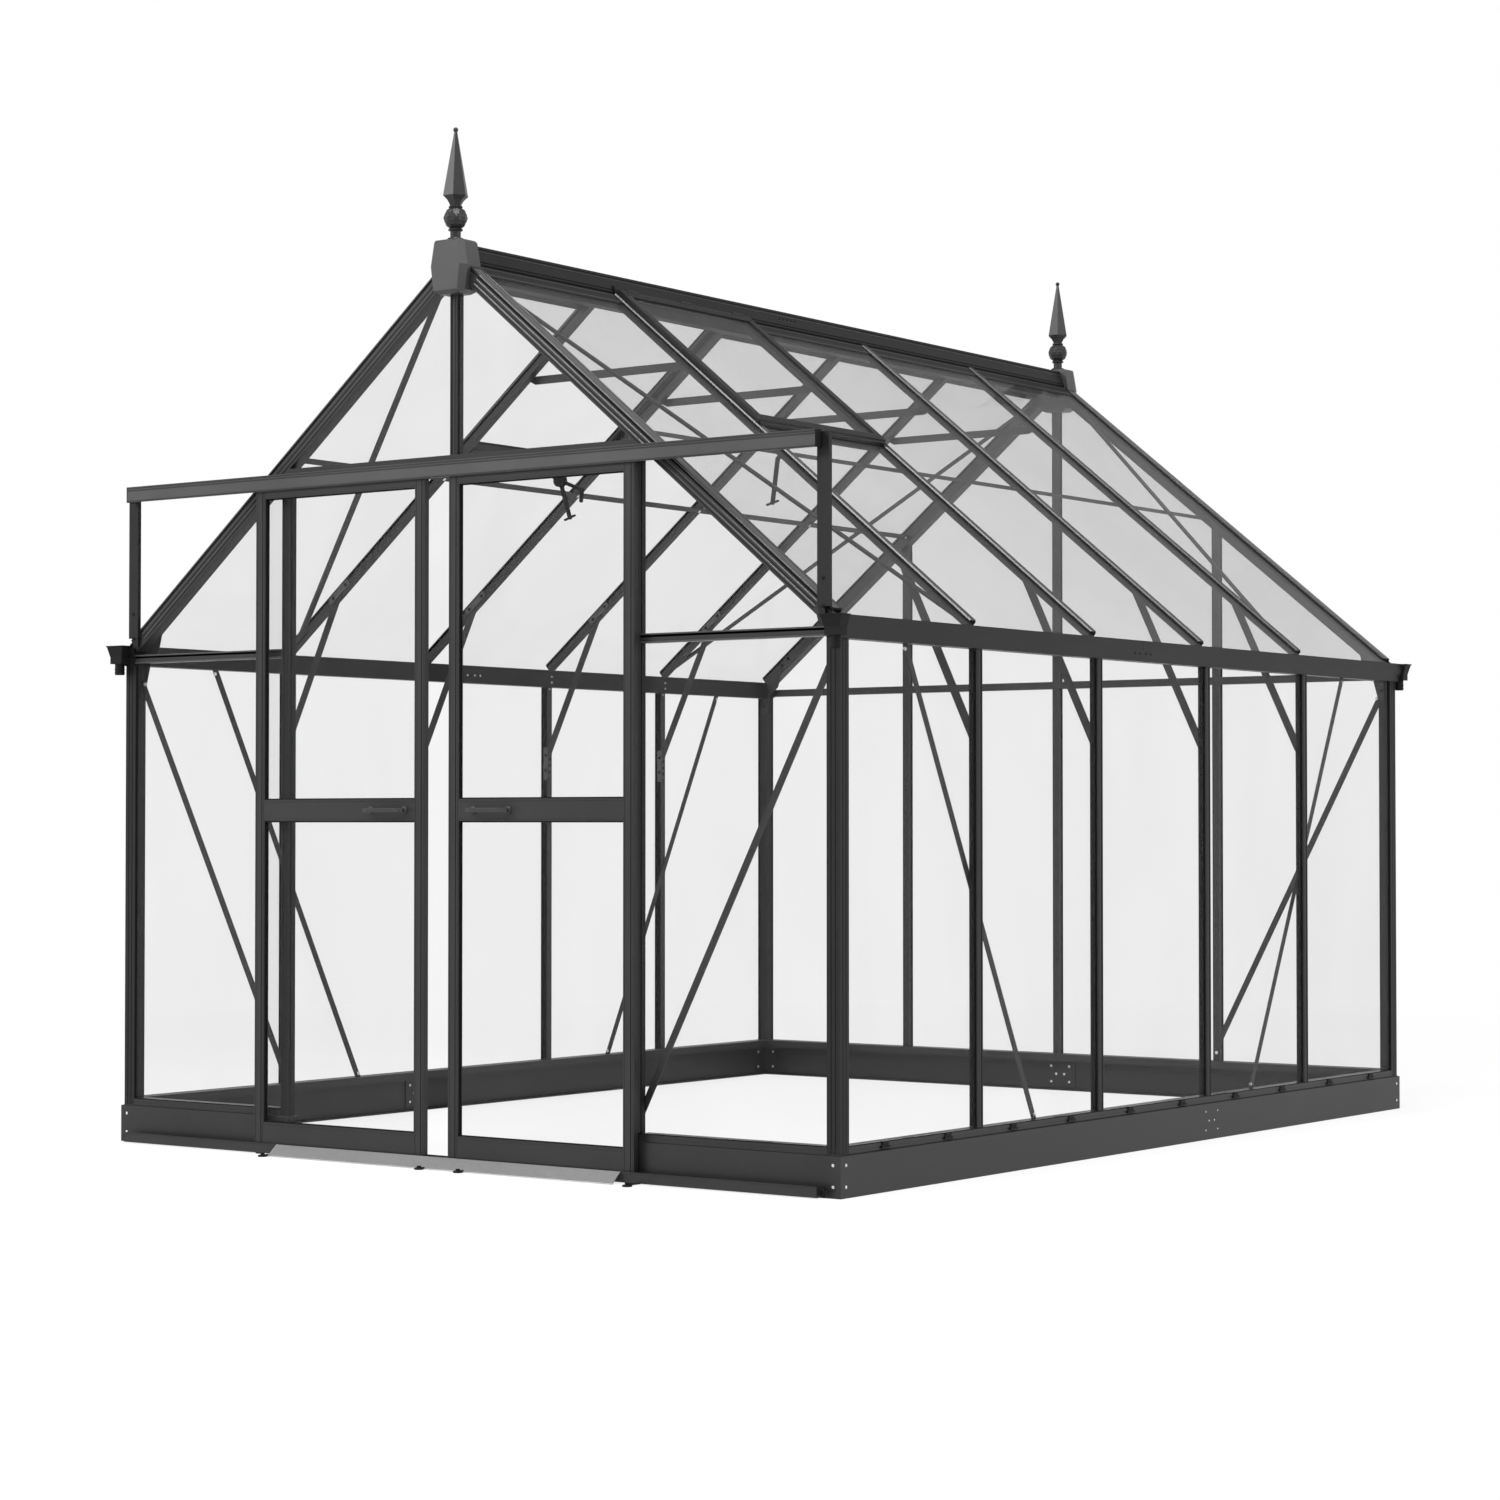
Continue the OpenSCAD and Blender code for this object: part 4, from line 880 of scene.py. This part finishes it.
# ---- doors and tracks ----
def track_fittings():
    """Ribs on both tracks, caps on their ends and bolts in the track's posts."""
    ribs, caps, dots = bmesh.new(), bmesh.new(), []
    lo, hi = box("top_track")
    for z, w in ((hi.z - 0.004, 0.0012), (hi.z - 0.011, 0.0010), (lo.z + 0.003, 0.0012)):
        outline = [(0, -2 * w), (w, -w), (w, w), (0, 2 * w)]
        prism(ribs, outline, Vector((lo.x, lo.y, z)), -Y, Z, X * (hi.x - lo.x))
    for side, x in ((-1, lo.x), (1, hi.x)):
        cap = Vector((x + side * 0.001, lo.y + 0.013, hi.z - 0.0225))
        slab(caps, cap, Y, Z, X, (0.028, 0.045, 0.002))
    lo, hi = box("bottom_track")
    outline = [(0, -0.0015), (0.001, -0.001), (0.001, 0.001), (0, 0.0015)]
    prism(ribs, outline, Vector((lo.x, lo.y, hi.z - 0.0015)), -Y, Z, X * (hi.x - lo.x))
    stop = [(0.0045, 0), (0.0045, 0.006), (0.003, 0.007)]
    for side, x in ((-1, lo.x), (1, hi.x)):
        bracket = Vector((x + side * 0.007, lo.y + 0.020, lo.z + 0.014))
        slab(caps, bracket, X, Y, Z, (0.014, 0.010, 0.012))
        lathe(caps, bracket + X * (side * 0.007), X * side, stop)
    for lo, hi in solids("track_posts"):
        for z in (0.03, 0.10):
            if z < hi.z - lo.z:
                dots.append((Vector(((lo.x + hi.x) / 2, lo.y, lo.z + z)), -Y))
    piece("track_ribs", ribs, COAT)
    piece("track_end_caps", caps, PLASTIC, bevel=0.0008)
    bolts("track_post_bolts", dots, 0.004, PLASTIC)


def door_fittings(body):
    """Ribs, seals, a line of painted groove shade, screws, handle trim and roller hubs of one leaf:
    they ride with it.
    """
    stiles = solids(body + "_stiles")
    rails = sorted(solids(body + "_rails"), key=lambda b: b[0].z)
    left, right = stiles
    front, back = left[0].y, left[1].y
    outer_x, inner_x = (left[0].x, right[1].x), (left[1].x, right[0].x)
    span = X * (inner_x[1] - inner_x[0])
    ribs, black_strips, dots = bmesh.new(), bmesh.new(), []
    rib = [(-0.001, 0), (0.001, 0), (0.0006, 0.0009), (-0.0006, 0.0009)]
    for lo, hi in stiles:
        height = Z * (hi.z - lo.z)
        for part in (0.12, 0.88):
            x = lo.x + part * (hi.x - lo.x)
            for y, way in ((front, -1), (back, 1)):
                prism(ribs, rib, Vector((x, y, lo.z)), X, Y * way, height)
        # A black line down the stile: painted groove shade
        line = Vector((lo.x + 0.7 * (hi.x - lo.x), front, lo.z))
        prism(black_strips, GROOVE_SHADE, line, X, -Y, height)
    for lo, hi in rails:
        for z in (lo.z + 0.005, hi.z - 0.005):
            for y, way in ((front, -1), (back, 1)):
                prism(ribs, rib, Vector((inner_x[0], y, z)), Z, Y * way, span)
        for x in (outer_x[0] + 0.018, outer_x[1] - 0.018):
            dots.append((Vector((x, back, (lo.z + hi.z) / 2)), Y))
    # Seals round both panes, on both faces
    slot = 0.0003
    seal = [(0, 0), (0.0035, 0), (0.001, 0.003), (0, 0.0035)]
    for lo, hi in sorted(solids(body + "_glass"), key=lambda b: b[0].z):
        for y, way in ((lo.y, -1), (hi.y, 1)):
            for x, turn in ((inner_x[0], 1), (inner_x[1], -1)):
                prism(black_strips, seal, Vector((x, y, lo.z)), X * turn, Y * way, Z * (hi.z - lo.z))
            for z, turn in ((lo.z - slot, 1), (hi.z + slot, -1)):
                prism(black_strips, seal, Vector((inner_x[0], y, z)), Z * turn, Y * way, span)
    # Brush strip down both outer edges of the leaf, on its back
    strip = [(0.002, 0), (0.006, 0), (0.005, 0.0022), (0.003, 0.0022)]
    bottom, height = left[0].z, Z * (left[1].z - left[0].z)
    for x, way in ((outer_x[0], 1), (outer_x[1], -1)):
        prism(black_strips, strip, Vector((x, back, bottom)), X * way, Y, height)
    piece(body + "_ribs", ribs, COAT, body)
    piece(body + "_seals", black_strips, RUBBER_AND_GROOVE_SHADE, body)
    bolts(body + "_screws", dots, 0.003, DARK, body)
    # Handle: screw bosses over the feet and a ribbed grip
    lo, hi = box(body + "_handle")
    bm = bmesh.new()
    grip_z = (lo.z + hi.z) / 2
    boss = [(0.011, 0), (0.011, 0.002), (0.0085, 0.0045), (0.006, 0.005)]
    for x in (lo.x + 0.012, hi.x - 0.012):
        lathe(bm, Vector((x, front, grip_z)), -Y, boss, 24)
    outline = [(-0.001, 0), (0.001, 0), (0.0005, 0.0008), (-0.0005, 0.0008)]
    inset = 0.022
    for z in (-0.003, 0, 0.003):
        start = Vector((lo.x + inset, lo.y, grip_z + z))
        prism(bm, outline, start, Z, -Y, X * (hi.x - lo.x - 2 * inset))
    piece(body + "_handle_trim", bm, GRIP, body, bevel=0.0004)
    # Roller hubs
    bm = bmesh.new()
    for lo, hi in solids(body + "_rollers"):
        hub = Vector(((lo.x + hi.x) / 2, lo.y, (lo.z + hi.z) / 2))
        lathe(bm, hub, -Y, [(0.0045, 0), (0.0045, 0.0008), (0.003, 0.0014)], 16)
    piece(body + "_roller_hubs", bm, ZINC, body)


def door_sets():
    for body in ("left_door", "right_door"):
        door_fittings(body)


def ramp_fittings():
    """A rolled edge along the ramp's toe, folded ends, and shoes in front of the track."""
    lo, hi = box("ramp")
    bm = bmesh.new()
    length = hi.x - lo.x
    roll = [(0.0012, 0), (0.0016, 0.001), (0.0016, length - 0.001), (0.0012, length)]
    lathe(bm, Vector((lo.x, lo.y + 0.0022, 0.0018)), X, roll)
    fall = Vector((0, lo.y - hi.y, lo.z - hi.z))
    way = fall.normalized()
    out = Vector((0, way.z, -way.y))
    fold = [(-0.001, 0), (0.001, 0), (0.001, 0.0008), (-0.001, 0.0008)]
    for x in (lo.x + 0.001, hi.x - 0.001):
        prism(bm, fold, Vector((x, hi.y, hi.z)), X, out, fall)
    piece("ramp_edges", bm, MILL)
    # Small black shoes, each on an arm that runs back under the ramp
    bm = bmesh.new()
    track = box("bottom_track")[0].y - SHIFT
    shoe_y = -1.692
    shoe = [(0.0125, 0), (0.0135, 0.002), (0.0125, 0.0045), (0.006, 0.006), (0.006, 0.010)]
    for x in (-0.618, -0.037, 0.101, 0.673):
        lathe(bm, at(x, shoe_y, 0), Z, shoe, 20)
        arm = at(x, (track + shoe_y) / 2, 0.004)
        slab(bm, arm, X, Y, Z, (0.009, track - shoe_y, 0.003))
    piece("ramp_shoes", bm, PLASTIC)


for build in (
    wall_dressing,
    roof_dressing,
    plinth_fittings,
    eaves_fittings,
    ridge_fittings,
    finial_fittings,
    brace_fittings,
    vent_fittings,
    track_fittings,
    door_sets,
    ramp_fittings,
):
    build()


# ---- stage: floor, world, lamps and camera ----
def light_path_mix(tree, seen, other):
    """Seen where a camera, glossy or transmission ray looks, and the other elsewhere."""
    path = node(tree, "ShaderNodeLightPath")
    first = node(
        tree,
        "ShaderNodeMath",
        {0: path.outputs["Is Camera Ray"], 1: path.outputs["Is Glossy Ray"]},
        operation="MAXIMUM",
    )
    both = node(
        tree,
        "ShaderNodeMath",
        {0: first.outputs[0], 1: path.outputs["Is Transmission Ray"]},
        operation="MAXIMUM",
    )
    return node(tree, "ShaderNodeMixShader", {0: both.outputs[0], 1: other, 2: seen}).outputs[0]


def make_world():
    """An even fill on the object, with a brighter horizon in what is seen and mirrored."""
    world = bpy.data.worlds.new("studio")
    scene.world = world
    world.use_nodes = True
    tree = world.node_tree
    tree.nodes.clear()
    out = tree.nodes.new("ShaderNodeOutputWorld")
    direction = node(tree, "ShaderNodeTexCoord").outputs["Generated"]
    height = node(tree, "ShaderNodeSeparateXYZ", {0: direction}).outputs["Z"]
    sky = ramp(tree, height, [(0.0, 1.0), (0.27, 1.0), (0.5, 0.42), (1.0, 0.3)])
    seen = node(tree, "ShaderNodeBackground", {"Color": sky, "Strength": 1.0})
    fill = node(tree, "ShaderNodeBackground", {"Color": (1, 1, 1, 1), "Strength": 0.5})
    tree.links.new(light_path_mix(tree, seen.outputs[0], fill.outputs[0]), out.inputs[0])


def make_floor():
    """A pale floor that shows its shadow near the object and runs out to an even white."""
    mesh = bpy.data.meshes.new("floor")
    reach, gap = 90.0, 0.0005
    corners = [(-reach, -reach, 0), (reach, -reach, 0), (reach, reach, 0), (-reach, reach, 0)]
    mesh.from_pydata(corners, [], [(0, 1, 2, 3)])
    floor = bpy.data.objects.new("floor", mesh)
    scene.collection.objects.link(floor)
    floor.location.z = CAD_BOX[0].z - gap
    mat, tree, out = new_material("pale_floor")
    grain = noise(tree, 1.5, 2.0)
    colour = ramp(tree, grain, [(0.3, 0.86), (0.7, 0.9)])
    matt = node(tree, "ShaderNodeBsdfDiffuse", {"Color": colour})
    glow = node(tree, "ShaderNodeEmission", {"Color": (1, 1, 1, 1), "Strength": 1.0})
    away = node(tree, "ShaderNodeVectorMath", {0: object_coords(tree)}, operation="LENGTH")
    near_far = {"From Min": 3.0, "From Max": 7.0, "To Min": 0.8, "To Max": 1.0}
    plain = node(tree, "ShaderNodeMapRange", {"Value": away.outputs["Value"], **near_far})
    lit = node(
        tree,
        "ShaderNodeMixShader",
        {0: plain.outputs[0], 1: matt.outputs[0], 2: glow.outputs[0]},
    )
    tree.links.new(light_path_mix(tree, lit.outputs[0], matt.outputs[0]), out.inputs[0])
    mesh.materials.append(mat)


def area_lamp(name, place, target, size, watts):
    """A soft lamp that faces the target."""
    data = bpy.data.lights.new(name, "AREA")
    data.shape = "RECTANGLE"
    data.size, data.size_y = size
    data.energy = watts
    lamp = bpy.data.objects.new(name, data)
    scene.collection.objects.link(lamp)
    lamp.location = place
    lamp.rotation_euler = (Vector(target) - Vector(place)).to_track_quat("-Z", "Y").to_euler()


def make_lamps():
    middle = (0, 0, 1.2)
    area_lamp("key", (-6, -9, 8), middle, (6, 4), 900)
    area_lamp("side", (9, 1, 6), middle, (6, 4), 260)
    area_lamp("top", (2.2, -4.0, 10), middle, (4, 4), 800)


def make_camera():
    """The viewing place was solved from the object's own straight lines."""
    data = bpy.data.cameras.new("camera")
    data.sensor_width = 36.0
    data.lens = 79.19
    data.clip_end = 200
    camera = bpy.data.objects.new("camera", data)
    scene.collection.objects.link(camera)
    camera.location = (5.9032, -8.3397 + SHIFT, 0.9314)
    camera.rotation_euler = (math.radians(91.252), 0, math.radians(36.067))
    scene.camera = camera


make_world()
make_floor()
make_lamps()
make_camera()
scene.view_settings.view_transform = "Standard"
scene.cycles.max_bounces = 10
scene.cycles.diffuse_bounces = 3
scene.cycles.glossy_bounces = 4
scene.cycles.transmission_bounces = 8
scene.cycles.transparent_max_bounces = 32
